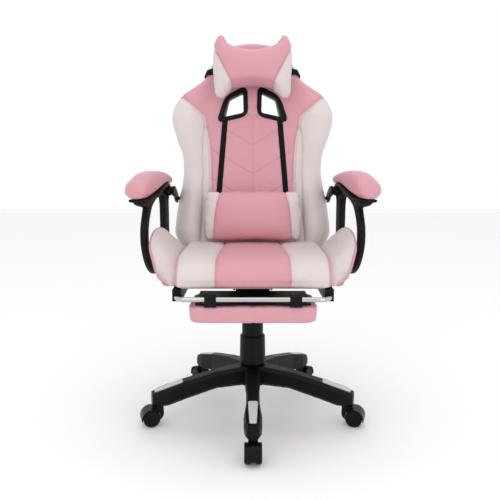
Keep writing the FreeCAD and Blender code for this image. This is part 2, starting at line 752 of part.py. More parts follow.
def make_armrest(name, side):
    """A closed loop of two curved posts under a wavy top bar, and its pad.

    It turns on the seat's bracket and carries the link's pin.
    """
    loop = body(f"arm_loop_{name}", arm_place(side))
    outer = sketch(loop, "YZ_Plane")
    draw(
        outer,
        ARM_TOP[:1],
        ARM_TOP[1:],
        [(104, 706), (106, 694)],
        [(100, 677), (92, 660)],
        [(92, 600), (90, 540), (84, 488)],
        [(76, 462), (44, 450), (-20, 446), (-62, 456)],
        [(-98, 490), (-120, 540), (-120, 590), (-97, 646)],
        [(-116, 650), (-148, 656), (-166, 664)],
    )
    pad(loop, outer, "arm_thickness", both_ways=True)
    opening = sketch(loop, "YZ_Plane")
    draw(
        opening,
        [(-20, 472), (16, 474), (38, 492)],
        [(46, 540), (47, 600), (44, 656)],
        [(34, 676), (8, 676), (-30, 664), (-62, 644)],
        [(-88, 600), (-93, 555), (-82, 515), (-58, 482)],
    )
    pocket(loop, opening, both_ways=True)

    def across(label, radius, inner, outer_end, spot):
        start = inner if side > 0 else -outer_end
        return rod(f"{label}_{name}", radius, outer_end - inner, (start, *spot), X_AXIS)

    pivot = ("arm_pivot_y", "arm_pivot_z")
    pin = ("link_pin_y", "link_pin_z")
    bosses = [across("pivot_boss", 20, 246, 277, pivot), across("pin_boss", 15, 253, 279, pin)]
    solid = joined(f"arm_solid_{name}", [loop, *bosses])
    room = joined(f"arm_room_{name}", [
        across("pivot_bore", "bolt_radius + running_gap", 230, 275, pivot),
        across("pin_bore", "bolt_radius + running_gap", 250, 273, pin),
    ])
    keep(cut(f"arm_frame_{name}", solid, room))

    thick = body(f"arm_pad_side_{name}", arm_place(side))
    shape = sketch(thick, "YZ_Plane")
    seat_line = [(u, z + 0.6) for u, z in ARM_TOP]
    draw(
        shape,
        seat_line[:1],
        seat_line[1:],
        [(118, 713)],
        [(130, 716), (128, 727)],
        [(96, 739), (20, 749), (-50, 752), (-110, 745), (-160, 722)],
        [(-174, 708), (-178, 690)],
    )
    pad(thick, shape, 90, both_ways=True)
    plan = body(f"arm_pad_plan_{name}", arm_place(side))
    outline = sketch(plan, "XY_Plane", 660)
    draw(
        outline,
        [(20, -177)], [(31, -170), (34, -156)],
        [(34, -60), (31, 20), (23, 70), (15, 106), (11, 124)], [(0, 129), (-11, 124)],
        [(-15, 106), (-23, 70), (-31, 20), (-34, -60), (-34, -156)], [(-31, -170), (-20, -177)],
    )
    pad(plan, outline, 110)
    cushion = doc.addObject("Part::Common", f"arm_pad_{name}")
    cushion.Label = f"arm_pad_{name}"
    cushion.Base = thick
    cushion.Tool = plan
    keep(cushion)


def make_link(name, side):
    """The flat link from the armrest's tail to the side of the back, with a stud at each end."""
    pin = ("link_pin_y", "link_pin_z")
    stud = ("link_pin_y + recline_y - arm_pivot_y", "link_pin_z + recline_z - arm_pivot_z")
    strap = body(f"link_strap_{name}")
    profile = sketch(strap, "YZ_Plane", "link_inner_x" if side > 0 else "-link_outer_x")
    draw(
        profile,
        [(108, 703), (142, 690), (171, 677)],
        [(181, 664), (170, 647)],
        [(140, 652), (108, 667), (75, 675)],
        [(60, 690), (75, 705)],
    )
    pad(strap, profile, "link_outer_x - link_inner_x")

    def spigot(label, inner, outer, spot):
        start = inner if side > 0 else f"-({outer})"
        return rod(f"{label}_{name}", "bolt_radius", f"({outer}) - ({inner})", (start, *spot), X_AXIS)

    arm_pin = spigot("link_pin", "link_outer_x - 1", 272, pin)
    back_stud = spigot("link_stud", 222, "link_inner_x + 1", stud)
    keep(joined(f"arm_link_{name}", [strap, arm_pin, back_stud]))
    return stud


# ---------------------------------------------------------------- back
def leaning():
    """The back's own frame: its Y runs into the back from the front face and its Z up along it."""
    return at(0, size("back_foot_y"), size("back_foot_z"), Rotation(X_AXIS, -size("back_lean")))


# One side of the back's outline from the foot to the head, as (half-width, height along the back).
LUMBAR = [(245, 44), (247, 76), (238, 145), (225, 215), (222, 262)]
SHOULDER = [(226, 310), (240, 350), (256, 405), (258, 447), (236, 497)]
NECK = [(200, 522), (170, 544), (151, 566)]
HEAD = [(139, 592), (118, 628), (84, 658), (0, 672)]
SLOT = [(31, 513), (77, 490), (96, 430), (29, 445)]


def mirrored(points):
    return [(-x, z) for x, z in points]


def grown(points, distance):
    """A convex polygon's corners moved out by a distance on every side."""
    centre = Vector(sum(p[0] for p in points) / len(points), sum(p[1] for p in points) / len(points), 0)
    corners = [Vector(*p, 0) for p in points]
    moved = []
    for i, corner in enumerate(corners):
        lines = []
        for a, b in ((corners[i - 1], corner), (corner, corners[(i + 1) % len(corners)])):
            normal = (b - a).normalize().cross(Z_AXIS)
            if normal.dot(a - centre) < 0:
                normal = -normal
            lines.append(normal)
        first, second = lines
        moved.append(corner + (first + second) * (distance / (1 + first.dot(second))))
    return [(p.x, p.y) for p in moved]


def back_sketch(owner, depth):
    """A sketch in the back's front view. Its plane's normal points forwards, so depth is negative."""
    return sketch(owner, "XZ_Plane", f"-({depth})")


def frame_pipe(label, radius):
    """A rounded rectangle of tube inside the back."""
    tube_body = body(label, leaning())
    path = back_sketch(tube_body, "back_thickness / 2")
    wide, low, high, bend = size("frame_spread"), 26, 396, 40
    corner = bend * (1 - math.sqrt(0.5))
    draw(
        path,
        [(wide - bend, low)], [(wide - corner, low + corner), (wide, low + bend)],
        [(wide, high - bend)], [(wide - corner, high - corner), (wide - bend, high)],
        [(bend - wide, high)], [(corner - wide, high - corner), (-wide, high - bend)],
        [(-wide, low + bend)], [(corner - wide, low + corner), (bend - wide, low)],
    )
    section = sketch(tube_body, "YZ_Plane")
    ring(section, ("back_thickness / 2", low), radius)
    doc.recompute([path, section])
    pipe = tube_body.newObject("PartDesign::AdditivePipe", label + "_pipe")
    pipe.Profile = section
    pipe.Spine = (path, [f"Edge{i}" for i in range(1, 9)])
    doc.recompute([pipe, tube_body])
    return tube_body


def make_back(stud):
    foam = body("back_block", leaning())
    outline = back_sketch(foam, 0)
    foot, head = (222, 0), (0, 672)
    right_side = [LUMBAR, SHOULDER, NECK, HEAD]
    turning = [foot, *[p for run in right_side for p in run]]
    left = mirrored(turning[::-1])
    left_runs = [left[1:5], left[5:8], left[8:13], left[13:19]]
    draw(outline, [foot], *right_side, *left_runs)
    pad(foam, outline, "back_thickness", reverse=True)

    tools = []
    for name, side in SIDES.items():
        hole = body(f"slot_room_{name}", leaning())
        edge = back_sketch(hole, -1)
        polygon(edge, [(side * x, z) for x, z in grown(SLOT, 4.3)])
        pad(hole, edge, "back_thickness + 2", reverse=True)
        tools.append(hole)
        plate_room = box(f"plate_room_{name}", (-3.5, 3.5), (-21, 21), (0, 155))
        along_plate = at(side * 211.5, size("recline_y"), size("recline_z"), Rotation(X_AXIS, -9.6))
        plate_room.Placement = along_plate.multiply(plate_room.Placement)
        tools.append(plate_room)
        tools.append(rod(f"stud_room_{name}", 14.5, 60, (207 if side > 0 else -267, *stud), X_AXIS))
    tools.append(frame_pipe("frame_channel", "frame_tube_radius + 0.5"))
    keep(cut("back_cushion", foam, joined("back_rooms", tools)))
    frame = frame_pipe("back_frame", "frame_tube_radius")
    keep(frame)

    brackets = []
    for name, side in SIDES.items():
        start = 208 if side > 0 else -234
        boss = rod(f"stud_boss_{name}", 14, 26, (start, *stud), X_AXIS)
        bore = rod(f"stud_bore_{name}", "bolt_radius + 0.4", 60, (side * 221 - 30, *stud), X_AXIS)
        brackets.append(cut(f"arm_back_bracket_{name}", boss, bore))
    keep(group("arm_back_brackets", brackets))

    bezels = []
    for name, side in SIDES.items():
        bezel = body(f"bezel_{name}", leaning())
        flange_points = [(side * x, z) for x, z in grown(SLOT, 17)]
        wall_points = [(side * x, z) for x, z in grown(SLOT, 4)]
        hole_points = [(side * x, z) for x, z in SLOT]
        front = back_sketch(bezel, -5)
        polygon(front, flange_points)
        pad(bezel, front, 4.7, reverse=True)
        wall = back_sketch(bezel, -1)
        polygon(wall, wall_points)
        pad(bezel, wall, "back_thickness + 2", reverse=True)
        rear = back_sketch(bezel, "back_thickness + 0.3")
        polygon(rear, flange_points)
        pad(bezel, rear, 4.7, reverse=True)
        hole = back_sketch(bezel, -10)
        polygon(hole, hole_points)
        pocket(bezel, hole)
        bezels.append(bezel)
    keep(group("slot_bezels", bezels))

    straps = []
    for name, side in SIDES.items():
        strap = body(f"lumbar_strap_{name}", leaning())
        flat = back_sketch(strap, -2.4)
        polygon(flat, [(side * 80, 410), (side * 98, 410), (side * 122, 120), (side * 104, 120)])
        pad(strap, flat, "strap_thickness", reverse=True)
        straps.append(strap)
    keep(group("lumbar_straps", straps))


def make_pillows():
    pillow = body("head_pillow", leaning())
    front = back_sketch(pillow, -97)
    right_side = [
        [(64, 501), (104, 480)], [(113, 486), (117, 496)], [(125, 560), (129, 625)],
        [(127, 664), (118, 676), (106, 679)], [(76, 652), (42, 640), (0, 636)],
    ]
    turning = [(0, 513), *[p for run in right_side for p in run]]
    left = mirrored(turning[::-1])
    draw(front, *right_side, *[left[a:b] for a, b in ((1, 4), (4, 7), (7, 9), (9, 11), (11, 13))])
    pad(pillow, front, 90, reverse=True)
    keep(pillow)

    roll = body("lumbar_pillow", leaning())
    side_view = sketch(roll, "YZ_Plane")
    draw(
        side_view,
        [(-5, 108), (-14, 176)],
        [(-52, 192), (-90, 176)], [(-105, 108), (-90, 40)], [(-52, 26), (-14, 38)],
    )
    pad(roll, side_view, 304, both_ways=True)
    keep(roll)

    strap = body("head_strap", leaning())
    outer = back_sketch(strap, -2.6)
    polygon(outer, [(155.9, 566), (145.2, 592), (-145.2, 592), (-155.9, 566)])
    pad(strap, outer, "back_thickness + 5.2", reverse=True)
    inner = back_sketch(strap, -0.6)
    polygon(inner, [(156.5, 560), (140.8, 598), (-140.8, 598), (-156.5, 560)])
    pocket(strap, inner, length="back_thickness + 1.2")
    keep(strap)


make_star_base()
make_inlays()
for caster_number in range(1, LEGS + 1):
    make_caster(caster_number)
make_lift()
make_mechanism()
make_seat_structure()
for side_name, side_sign in SIDES.items():
    make_bolster(side_name, side_sign)
make_footrest()
make_linkage_plates()
for side_name, side_sign in SIDES.items():
    make_armrest(side_name, side_sign)
    link_stud = make_link(side_name, side_sign)
make_back(link_stud)
make_pillows()
doc.recompute()

failed = [obj.Label for obj in doc.Objects if "Invalid" in obj.State or "Error" in obj.State]
for label, obj in nodes.items():
    if obj.Shape.isNull() or not obj.Shape.isValid() or not obj.Shape.Solids:
        failed.append(label)
if failed:
    raise RuntimeError(f"these failed: {failed}")
os.makedirs("parts", exist_ok=True)
for label, obj in nodes.items():
    obj.Shape.exportStep(f"parts/{label}.step")
    print(f"{label}: {len(obj.Shape.Solids)} solids, {obj.Shape.Volume / 1000:.1f} cm3")
print(len(nodes), "nodes")
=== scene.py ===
"""The gaming chair's looks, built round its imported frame. Metres, +Z up, the chair faces -Y."""
import math

import bmesh
import bpy
import numpy as np
from mathutils import Matrix, Vector, noise
from mathutils.bvhtree import BVHTree


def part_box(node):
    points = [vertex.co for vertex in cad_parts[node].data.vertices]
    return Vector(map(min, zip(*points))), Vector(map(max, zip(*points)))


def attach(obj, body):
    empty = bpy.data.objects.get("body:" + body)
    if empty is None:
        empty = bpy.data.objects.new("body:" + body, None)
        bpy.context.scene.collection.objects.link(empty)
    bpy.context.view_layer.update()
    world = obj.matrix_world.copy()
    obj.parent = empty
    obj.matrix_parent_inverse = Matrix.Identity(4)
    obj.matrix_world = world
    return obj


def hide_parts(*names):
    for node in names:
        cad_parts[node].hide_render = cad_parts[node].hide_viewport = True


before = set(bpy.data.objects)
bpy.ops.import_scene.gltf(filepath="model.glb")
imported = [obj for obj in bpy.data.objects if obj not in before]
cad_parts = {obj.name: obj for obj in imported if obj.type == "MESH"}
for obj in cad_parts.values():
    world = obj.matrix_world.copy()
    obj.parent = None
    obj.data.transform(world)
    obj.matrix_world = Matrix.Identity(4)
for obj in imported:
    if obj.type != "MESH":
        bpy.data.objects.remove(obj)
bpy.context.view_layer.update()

MM = 0.001
SIDES = {"right": -1, "left": 1}


def link(name, data):
    """A new object in the scene."""
    made = bpy.data.objects.new(name, data)
    bpy.context.scene.collection.objects.link(made)
    return made


# ---------------------------------------------------------------- camera and light
CAMERA_PLACE = (-0.008, -1.657, 0.755)
CAMERA_LENS = 39.7
CAMERA_DIP = math.radians(8.283)
LOOKED_AT = (0, 0, 0.6)
FLOOR_HALF = 9
FLOOR_DROP = 0.0005


def make_camera():
    """Stands in front of the chair, a little above its arms, and looks slightly down."""
    data = bpy.data.cameras.new("camera")
    data.sensor_width = 36
    data.lens = CAMERA_LENS
    camera = link("camera", data)
    camera.location = CAMERA_PLACE
    camera.rotation_euler = (math.radians(90) - CAMERA_DIP, 0, 0)
    bpy.context.scene.camera = camera


def make_light(name, place, size, watts):
    """A rectangular lamp that points at the chair's middle."""
    data = bpy.data.lights.new(name, "AREA")
    data.shape = "RECTANGLE"
    data.size, data.size_y = size
    data.energy = watts
    light = link(name, data)
    light.location = place
    light.rotation_euler = (Vector(LOOKED_AT) - Vector(place)).to_track_quat("-Z", "Y").to_euler()


def make_studio():
    """A white surround and three broad soft lamps, with colours shown as they are."""
    bpy.context.scene.view_settings.view_transform = "Standard"
    world = bpy.data.worlds.new("studio")
    bpy.context.scene.world = world
    world.use_nodes = True
    background = world.node_tree.nodes["Background"]
    background.inputs["Color"].default_value = (1, 1, 1, 1)
    background.inputs["Strength"].default_value = 1.0
    make_light("key", (-1.2, -2.6, 1.7), (1.8, 1.8), 8)
    make_light("fill", (1.4, -2.6, 0.8), (1.6, 1.4), 9)
    make_light("top", (0, -0.3, 3.2), (2.4, 2.4), 12)
    mesh = bpy.data.meshes.new("floor")
    corners = [(x * FLOOR_HALF, y * FLOOR_HALF, 0) for x, y in ((-1, -1), (1, -1), (1, 1), (-1, 1))]
    mesh.from_pydata(corners, [], [(0, 1, 2, 3)])
    floor = link("floor", mesh)
    floor.location.z = -FLOOR_DROP
    paint = bpy.data.materials.new("floor_paint")
    paint.use_nodes = True
    shader = paint.node_tree.nodes["Principled BSDF"]
    shader.inputs["Base Color"].default_value = (0.93, 0.93, 0.93, 1)
    shader.inputs["Roughness"].default_value = 0.7
    mesh.materials.append(paint)


# ---------------------------------------------------------------- materials
def add(tree, kind, values=None, **settings):
    """A new node with its settings. Each value is a number, a colour or another node's output."""
    new = tree.nodes.new(kind)
    for name, setting in settings.items():
        setattr(new, name, setting)
    for key, value in (values or {}).items():
        socket = new.inputs[key]
        if isinstance(value, bpy.types.NodeSocket):
            tree.links.new(value, socket)
        else:
            socket.default_value = value
    return new


def blank(name, roughness, metallic=0.0, coat=0.0, sheen=0.0, specular=0.5):
    """A new material, its node tree, its shader and the place on the object that its patterns use."""
    made = bpy.data.materials.new(name)
    made.use_nodes = True
    shader = made.node_tree.nodes["Principled BSDF"]
    shader.inputs["Roughness"].default_value = roughness
    shader.inputs["Metallic"].default_value = metallic
    shader.inputs["Coat Weight"].default_value = coat
    shader.inputs["Coat Roughness"].default_value = 0.3
    shader.inputs["Sheen Weight"].default_value = sheen
    shader.inputs["Specular IOR Level"].default_value = specular
    place = add(made.node_tree, "ShaderNodeTexCoord").outputs["Object"]
    return made, made.node_tree, shader, place


def emboss(tree, shader, height, strength, depth):
    """Bumps the surface by a 0 to 1 height."""
    bump = add(tree, "ShaderNodeBump", {"Height": height, "Strength": strength, "Distance": depth})
    tree.links.new(bump.outputs["Normal"], shader.inputs["Normal"])


def shade(colour, share):
    """A darker shade of a colour."""
    return tuple(c * share for c in colour[:3]) + (1,)


def spread(tree, value, low, high, start=0.0, end=1.0):
    """Maps an output that runs from start to end onto low to high."""
    values = {"Value": value, "From Min": start, "From Max": end, "To Min": low, "To Max": high}
    return add(tree, "ShaderNodeMapRange", values).outputs["Result"]


def mix(tree, share, first, second):
    return add(tree, "ShaderNodeMix", {0: share, 6: first, 7: second}, data_type="RGBA").outputs[2]


def weigh(tree, operation, first, second):
    return add(tree, "ShaderNodeMath", {0: first, 1: second}, operation=operation).outputs[0]


PINK = (0.60, 0.275, 0.325, 1)
PINK_LIGHT = (0.66, 0.315, 0.365, 1)
IVORY = (0.63, 0.555, 0.54, 1)
IVORY_LIGHT = (0.69, 0.615, 0.60, 1)
GRAIN = 620
DYE_EDGE = 0.0003


def make_leather():
    """Synthetic leather with a pebbled grain, ivory where the attribute tint, in metres, is above 0. Painted
    shade darkens the crevices between the pebbles.
    """
    made, tree, shader, place = blank("leather", 0.45, coat=0.06, sheen=0.08)
    cells = add(tree, "ShaderNodeTexVoronoi", {"Vector": place, "Scale": GRAIN}, feature="DISTANCE_TO_EDGE")
    pebbles = cells.outputs["Distance"]
    folds = {"Vector": place, "Scale": 70, "Detail": 5, "Distortion": 0.7}
    creases = add(tree, "ShaderNodeTexNoise", folds).outputs["Fac"]
    patches = add(tree, "ShaderNodeTexNoise", {"Vector": place, "Scale": 7, "Detail": 3}).outputs["Fac"]
    tint = add(tree, "ShaderNodeAttribute", attribute_name="tint").outputs["Fac"]
    ivory = spread(tree, tint, 0, 1, -DYE_EDGE, DYE_EDGE)
    pink = mix(tree, patches, PINK, PINK_LIGHT)
    white = mix(tree, patches, IVORY, IVORY_LIGHT)
    dye = mix(tree, ivory, pink, white)
    # Painted shade: the base colour darkens to 0.88 of itself in the crevices between the grain's pebbles.
    crevice_shade = spread(tree, pebbles, 0.88, 1.0, 0.0, 0.12)
    shaded = add(tree, "ShaderNodeVectorMath", {0: dye}, operation="SCALE")
    tree.links.new(crevice_shade, shaded.inputs["Scale"])
    tree.links.new(shaded.outputs[0], shader.inputs["Base Color"])
    tree.links.new(spread(tree, creases, 0.36, 0.56), shader.inputs["Roughness"])
    grain = weigh(tree, "MULTIPLY", pebbles, 1.4)
    emboss(tree, shader, weigh(tree, "ADD", grain, weigh(tree, "MULTIPLY", creases, 1.8)), 0.45, 0.0006)
    return made


def make_plastic(name, colour, roughness, grain, depth):
    """Moulded plastic with a fine spark-eroded texture and a faint unevenness in its gloss."""
    made, tree, shader, place = blank(name, roughness, specular=0.15)
    fine = add(tree, "ShaderNodeTexNoise", {"Vector": place, "Scale": grain, "Detail": 3}).outputs["Fac"]
    broad = add(tree, "ShaderNodeTexNoise", {"Vector": place, "Scale": 14, "Detail": 4}).outputs["Fac"]
    tree.links.new(mix(tree, broad, shade(colour, 0.8), colour), shader.inputs["Base Color"])
    tree.links.new(spread(tree, broad, roughness - 0.07, roughness + 0.09), shader.inputs["Roughness"])
    emboss(tree, shader, fine, 0.35, depth)
    return made


def make_metal(name, colour, roughness, stretch, metallic=1.0):
    """Metal with fine drawn or brushed lines along one axis."""
    made, tree, shader, place = blank(name, roughness, metallic)
    along = add(tree, "ShaderNodeMapping", {"Vector": place, "Scale": stretch}).outputs["Vector"]
    lines = add(tree, "ShaderNodeTexNoise", {"Vector": along, "Scale": 40, "Detail": 6}).outputs["Fac"]
    tree.links.new(mix(tree, lines, shade(colour, 0.86), colour), shader.inputs["Base Color"])
    tree.links.new(spread(tree, lines, roughness * 0.7, roughness * 1.5), shader.inputs["Roughness"])
    emboss(tree, shader, lines, 0.08, 0.0002)
    return made


def make_webbing():
    """Black woven nylon: ribs across a finer weave along the strap."""
    made, tree, shader, place = blank("webbing", 0.8, sheen=0.03, specular=0.15)
    ribs = {"Vector": place, "Scale": 150, "Distortion": 0.4}
    ribs = add(tree, "ShaderNodeTexWave", ribs, bands_direction="Z").outputs["Fac"]
    weave = {"Vector": place, "Scale": 190, "Distortion": 0.6}
    weave = add(tree, "ShaderNodeTexWave", weave, bands_direction="X").outputs["Fac"]
    threads = weigh(tree, "MULTIPLY", ribs, weave)
    nylon = mix(tree, threads, (0.002, 0.002, 0.0025, 1), (0.013, 0.013, 0.015, 1))
    tree.links.new(nylon, shader.inputs["Base Color"])
    emboss(tree, shader, threads, 0.6, 0.0006)
    return made


def make_plywood():
    """Birch ply with a long grain."""
    made, tree, shader, place = blank("plywood", 0.65)
    along = add(tree, "ShaderNodeMapping", {"Vector": place, "Scale": (2, 30, 30)}).outputs["Vector"]
    grain = {"Vector": along, "Scale": 5, "Detail": 8, "Distortion": 0.8}
    fibre = add(tree, "ShaderNodeTexNoise", grain).outputs["Fac"]
    wood = mix(tree, fibre, (0.42, 0.28, 0.16, 1), (0.68, 0.52, 0.34, 1))
    tree.links.new(wood, shader.inputs["Base Color"])
    emboss(tree, shader, fibre, 0.3, 0.0004)
    return made


def make_thread(name, colour):
    """Twisted sewing thread."""
    made, tree, shader, place = blank(name, 0.6, sheen=0.1)
    twist = add(tree, "ShaderNodeTexWave", {"Vector": place, "Scale": 500}, bands_direction="DIAGONAL")
    dye = mix(tree, twist.outputs["Fac"], shade(colour, 0.75), colour)
    tree.links.new(dye, shader.inputs["Base Color"])
    return made


LEATHER = make_leather()
PLASTIC = make_plastic("black_plastic", (0.003, 0.003, 0.0033, 1), 0.42, 1500, 0.0002)
GLOSS = make_plastic("gloss_plastic", (0.0025, 0.0025, 0.0028, 1), 0.26, 900, 0.0001)
POWDER = make_plastic("powder_coat", (0.0033, 0.0033, 0.0036, 1), 0.5, 1100, 0.0003)
CHROME = make_metal("chrome", (0.56, 0.56, 0.58, 1), 0.1, (1, 1, 12))
STEEL = make_metal("zinc_steel", (0.55, 0.55, 0.57, 1), 0.3, (12, 1, 1))
SILVER = make_metal("silver_paint", (0.66, 0.65, 0.67, 1), 0.5, (4, 4, 4), 0.2)
WEBBING = make_webbing()
PLYWOOD = make_plywood()
PINK_THREAD = make_thread("pink_thread", (0.50, 0.20, 0.25, 1))
IVORY_THREAD = make_thread("ivory_thread", (0.62, 0.54, 0.52, 1))


# ---------------------------------------------------------------- curves and meshes
def smooth(points, count, closed=False):
    """Evenly spaced points along a smooth curve through the given ones."""
    p = np.array(points, float)
    if closed:
        guide = np.vstack([p[-1], p, p[:2]])
    else:
        guide = np.vstack([2 * p[0] - p[1], p, 2 * p[-1] - p[-2]])
    t = np.linspace(0, 1, 17)[:-1, None]
    dense = []
    for a, b, c, d in zip(guide, guide[1:], guide[2:], guide[3:]):
        bend = (2 * a - 5 * b + 4 * c - d) * t**2
        dense.append(b + 0.5 * ((c - a) * t + bend + (3 * b - a - 3 * c + d) * t**3))
    dense = np.vstack([*dense, guide[-2]])
    reach = np.concatenate([[0], np.cumsum(np.linalg.norm(np.diff(dense, axis=0), axis=1))])
    stops = np.linspace(0, reach[-1], count, endpoint=not closed)
    return np.column_stack([np.interp(stops, reach, dense[:, k]) for k in range(p.shape[1])])


def step(value, low, high):
    """0 below low, 1 above high, and a smooth rise between."""
    t = np.clip((value - low) / (high - low), 0, 1)
    return t * t * (3 - 2 * t)


def distance(points, line):
    """How far each 2-D point is from a polyline."""
    best = np.full(len(points), 1e9)
    line = np.array(line, float)
    for a, b in zip(line, line[1:]):
        ab = b - a
        share = np.clip(((points - a) @ ab) / (ab @ ab), 0, 1)
        best = np.minimum(best, np.linalg.norm(points - a - share[:, None] * ab, axis=1))
    return best


def signed(points, polygon):
    """The distance to a closed outline, above 0 inside it."""
    corners = np.array(polygon, float)
    within = np.zeros(len(points), bool)
    for a, b in zip(corners, np.roll(corners, -1, axis=0)):
        crosses = (a[1] > points[:, 1]) != (b[1] > points[:, 1])
        with np.errstate(divide="ignore", invalid="ignore"):
            where = a[0] + (points[:, 1] - a[1]) * (b[0] - a[0]) / (b[1] - a[1])
        within ^= crosses & (points[:, 0] < where)
    edge = distance(points, np.vstack([corners, corners[:1]]))
    return np.where(within, edge, -edge)


def rounded_loop(half, front, rear, front_round, rear_round, count):
    """A rounded rectangle from its +X side over the front to -X and back behind: (x, depth) rows."""
    turns = np.linspace(0, math.pi / 2, 7)
    middle = (front + rear) / 2
    arc = [(half - front_round * (1 - math.cos(a)), front + front_round * (1 - math.sin(a))) for a in turns]
    back_arc = [(half - rear_round * (1 - math.cos(a)), rear - rear_round * (1 - math.sin(a)))
                for a in turns]
    right = [(half, middle), *arc]
    left = [(-x, d) for x, d in arc[::-1]]
    behind = [(-x, d) for x, d in back_arc]
    outline = np.array([*right, *left, (-half, middle), *behind, *back_arc[::-1], (half, middle)], float)
    reach = np.concatenate([[0], np.cumsum(np.linalg.norm(np.diff(outline, axis=0), axis=1))])
    stops = (np.arange(count) + 0.5) / count * reach[-1]
    return np.column_stack([np.interp(stops, reach, outline[:, k]) for k in range(2)])


def soften(mesh):
    """Smooth shading all over."""
    mesh.polygons.foreach_set("use_smooth", [True] * len(mesh.polygons))


def welded(mesh, facing_out):
    """Joins vertices that coincide and, where asked, turns the faces outwards."""
    whole = bmesh.new()
    whole.from_mesh(mesh)
    bmesh.ops.remove_doubles(whole, verts=whole.verts, dist=0.001 * MM)
    if facing_out:
        bmesh.ops.recalc_face_normals(whole, faces=whole.faces)
    whole.to_mesh(mesh)
    whole.free()
    soften(mesh)


def new_object(name, verts, faces, material):
    mesh = bpy.data.meshes.new(name)
    mesh.from_pydata([tuple(v) for v in verts], [], faces)
    welded(mesh, True)
    mesh.materials.append(material)
    return link(name, mesh)


def skin(rings, count, closed=False):
    """Quads from each ring of count points to the next, and from the last to the first if closed."""
    faces = []
    for row in range(rings if closed else rings - 1):
        after = (row + 1) % rings
        for i in range(count):
            j = (i + 1) % count
            faces.append((row * count + i, row * count + j, after * count + j, after * count + i))
    return faces


def loft(name, loops, material):
    """A closed mesh through loops. Point i of a loop faces point n-1-i, so quads close the ends."""
    count = len(loops[0])
    faces = skin(len(loops), count)
    for first in (0, (len(loops) - 1) * count):
        for i in range(count // 2 - 1):
            faces.append((first + i, first + i + 1, first + count - 2 - i, first + count - 1 - i))
    return new_object(name, np.vstack(loops), faces, material)


def applied(obj):
    """Applies the object's modifiers."""
    graph = bpy.context.evaluated_depsgraph_get()
    mesh = bpy.data.meshes.new_from_object(obj.evaluated_get(graph))
    obj.modifiers.clear()
    obj.data = mesh
    soften(mesh)
    return obj


def refined(obj, levels=1):
    modifier = obj.modifiers.new("refine", "SUBSURF")
    modifier.levels = modifier.render_levels = levels
    return applied(obj)


def spots(obj):
    """The object's vertices, as rows."""
    flat = np.zeros(len(obj.data.vertices) * 3)
    obj.data.vertices.foreach_get("co", flat)
    return flat.reshape(-1, 3)


def displace(obj, amount):
    """Moves each vertex out along its normal."""
    flat = np.zeros(len(obj.data.vertices) * 3)
    obj.data.vertex_normals.foreach_get("vector", flat)
    place = spots(obj) + flat.reshape(-1, 3) * amount[:, None]
    obj.data.vertices.foreach_set("co", place.ravel())
    obj.data.update()


def paint(obj, tint):
    """Stores, in metres, how far inside an ivory panel each vertex is."""
    attribute = obj.data.attributes.new("tint", "FLOAT", "POINT")
    attribute.data.foreach_set("value", np.asarray(tint, np.float32))


def rumple(places, scale, seed):
    """Smooth noise from -1 to 1 at each place; scale is cells to the metre, one number or one an axis."""
    stretch = np.broadcast_to(scale, 3)
    shift = Vector((seed * 7.3, seed * 3.1, seed * 5.7))
    return np.array([noise.noise(Vector(p * stretch) + shift) for p in places])


def wrinkles(obj, broad, fine, seeds, share=0.5):
    """Broad creases at each vertex, with finer ones over them."""
    places = spots(obj)
    return rumple(places, broad, seeds[0]) + share * rumple(places, fine, seeds[1])


SWELL_FRAMES = 18
SWELL_VOXEL = 5 * MM
SWELL_PRESSURE = 3.0
SWELL_MOST = 7 * MM


def inflate(obj):
    """Swells a closed shape as cloth under pressure, no point moving further than SWELL_MOST."""
    remesh = obj.modifiers.new("remesh", "REMESH")
    remesh.mode = "VOXEL"
    remesh.voxel_size = SWELL_VOXEL
    applied(obj)
    start = spots(obj)
    cloth = obj.modifiers.new("cloth", "CLOTH")
    settings = cloth.settings
    settings.use_pressure = True
    settings.uniform_pressure_force = SWELL_PRESSURE
    settings.effector_weights.gravity = 0
    settings.quality = 5
    settings.tension_stiffness = settings.compression_stiffness = 25
    settings.bending_stiffness = 0.4
    cloth.point_cache.frame_start = 1
    cloth.point_cache.frame_end = SWELL_FRAMES
    for number in range(1, SWELL_FRAMES + 1):
        bpy.context.scene.frame_set(number)
    applied(obj)
    bpy.context.scene.frame_set(1)
    move = spots(obj) - start
    length = np.linalg.norm(move, axis=1)
    capped = start + move * (np.minimum(length, SWELL_MOST) / np.maximum(length, 1e-9))[:, None]
    obj.data.vertices.foreach_set("co", capped.ravel())
    obj.data.update()


def surface(obj):
    return BVHTree.FromObject(obj, bpy.context.evaluated_depsgraph_get())


def laid(tree, origins, direction):
    """Where rays from the origins meet a surface: (place, normal) pairs, and nothing for a miss."""
    found = []
    for origin in origins:
        place, normal, _, _ = tree.ray_cast(Vector(origin), Vector(direction))
        if place is not None:
            found.append((place, normal))
    return found


STITCH = {"length": 5.2 * MM, "pitch": 7.5 * MM, "width": 0.9 * MM, "height": 0.55 * MM}


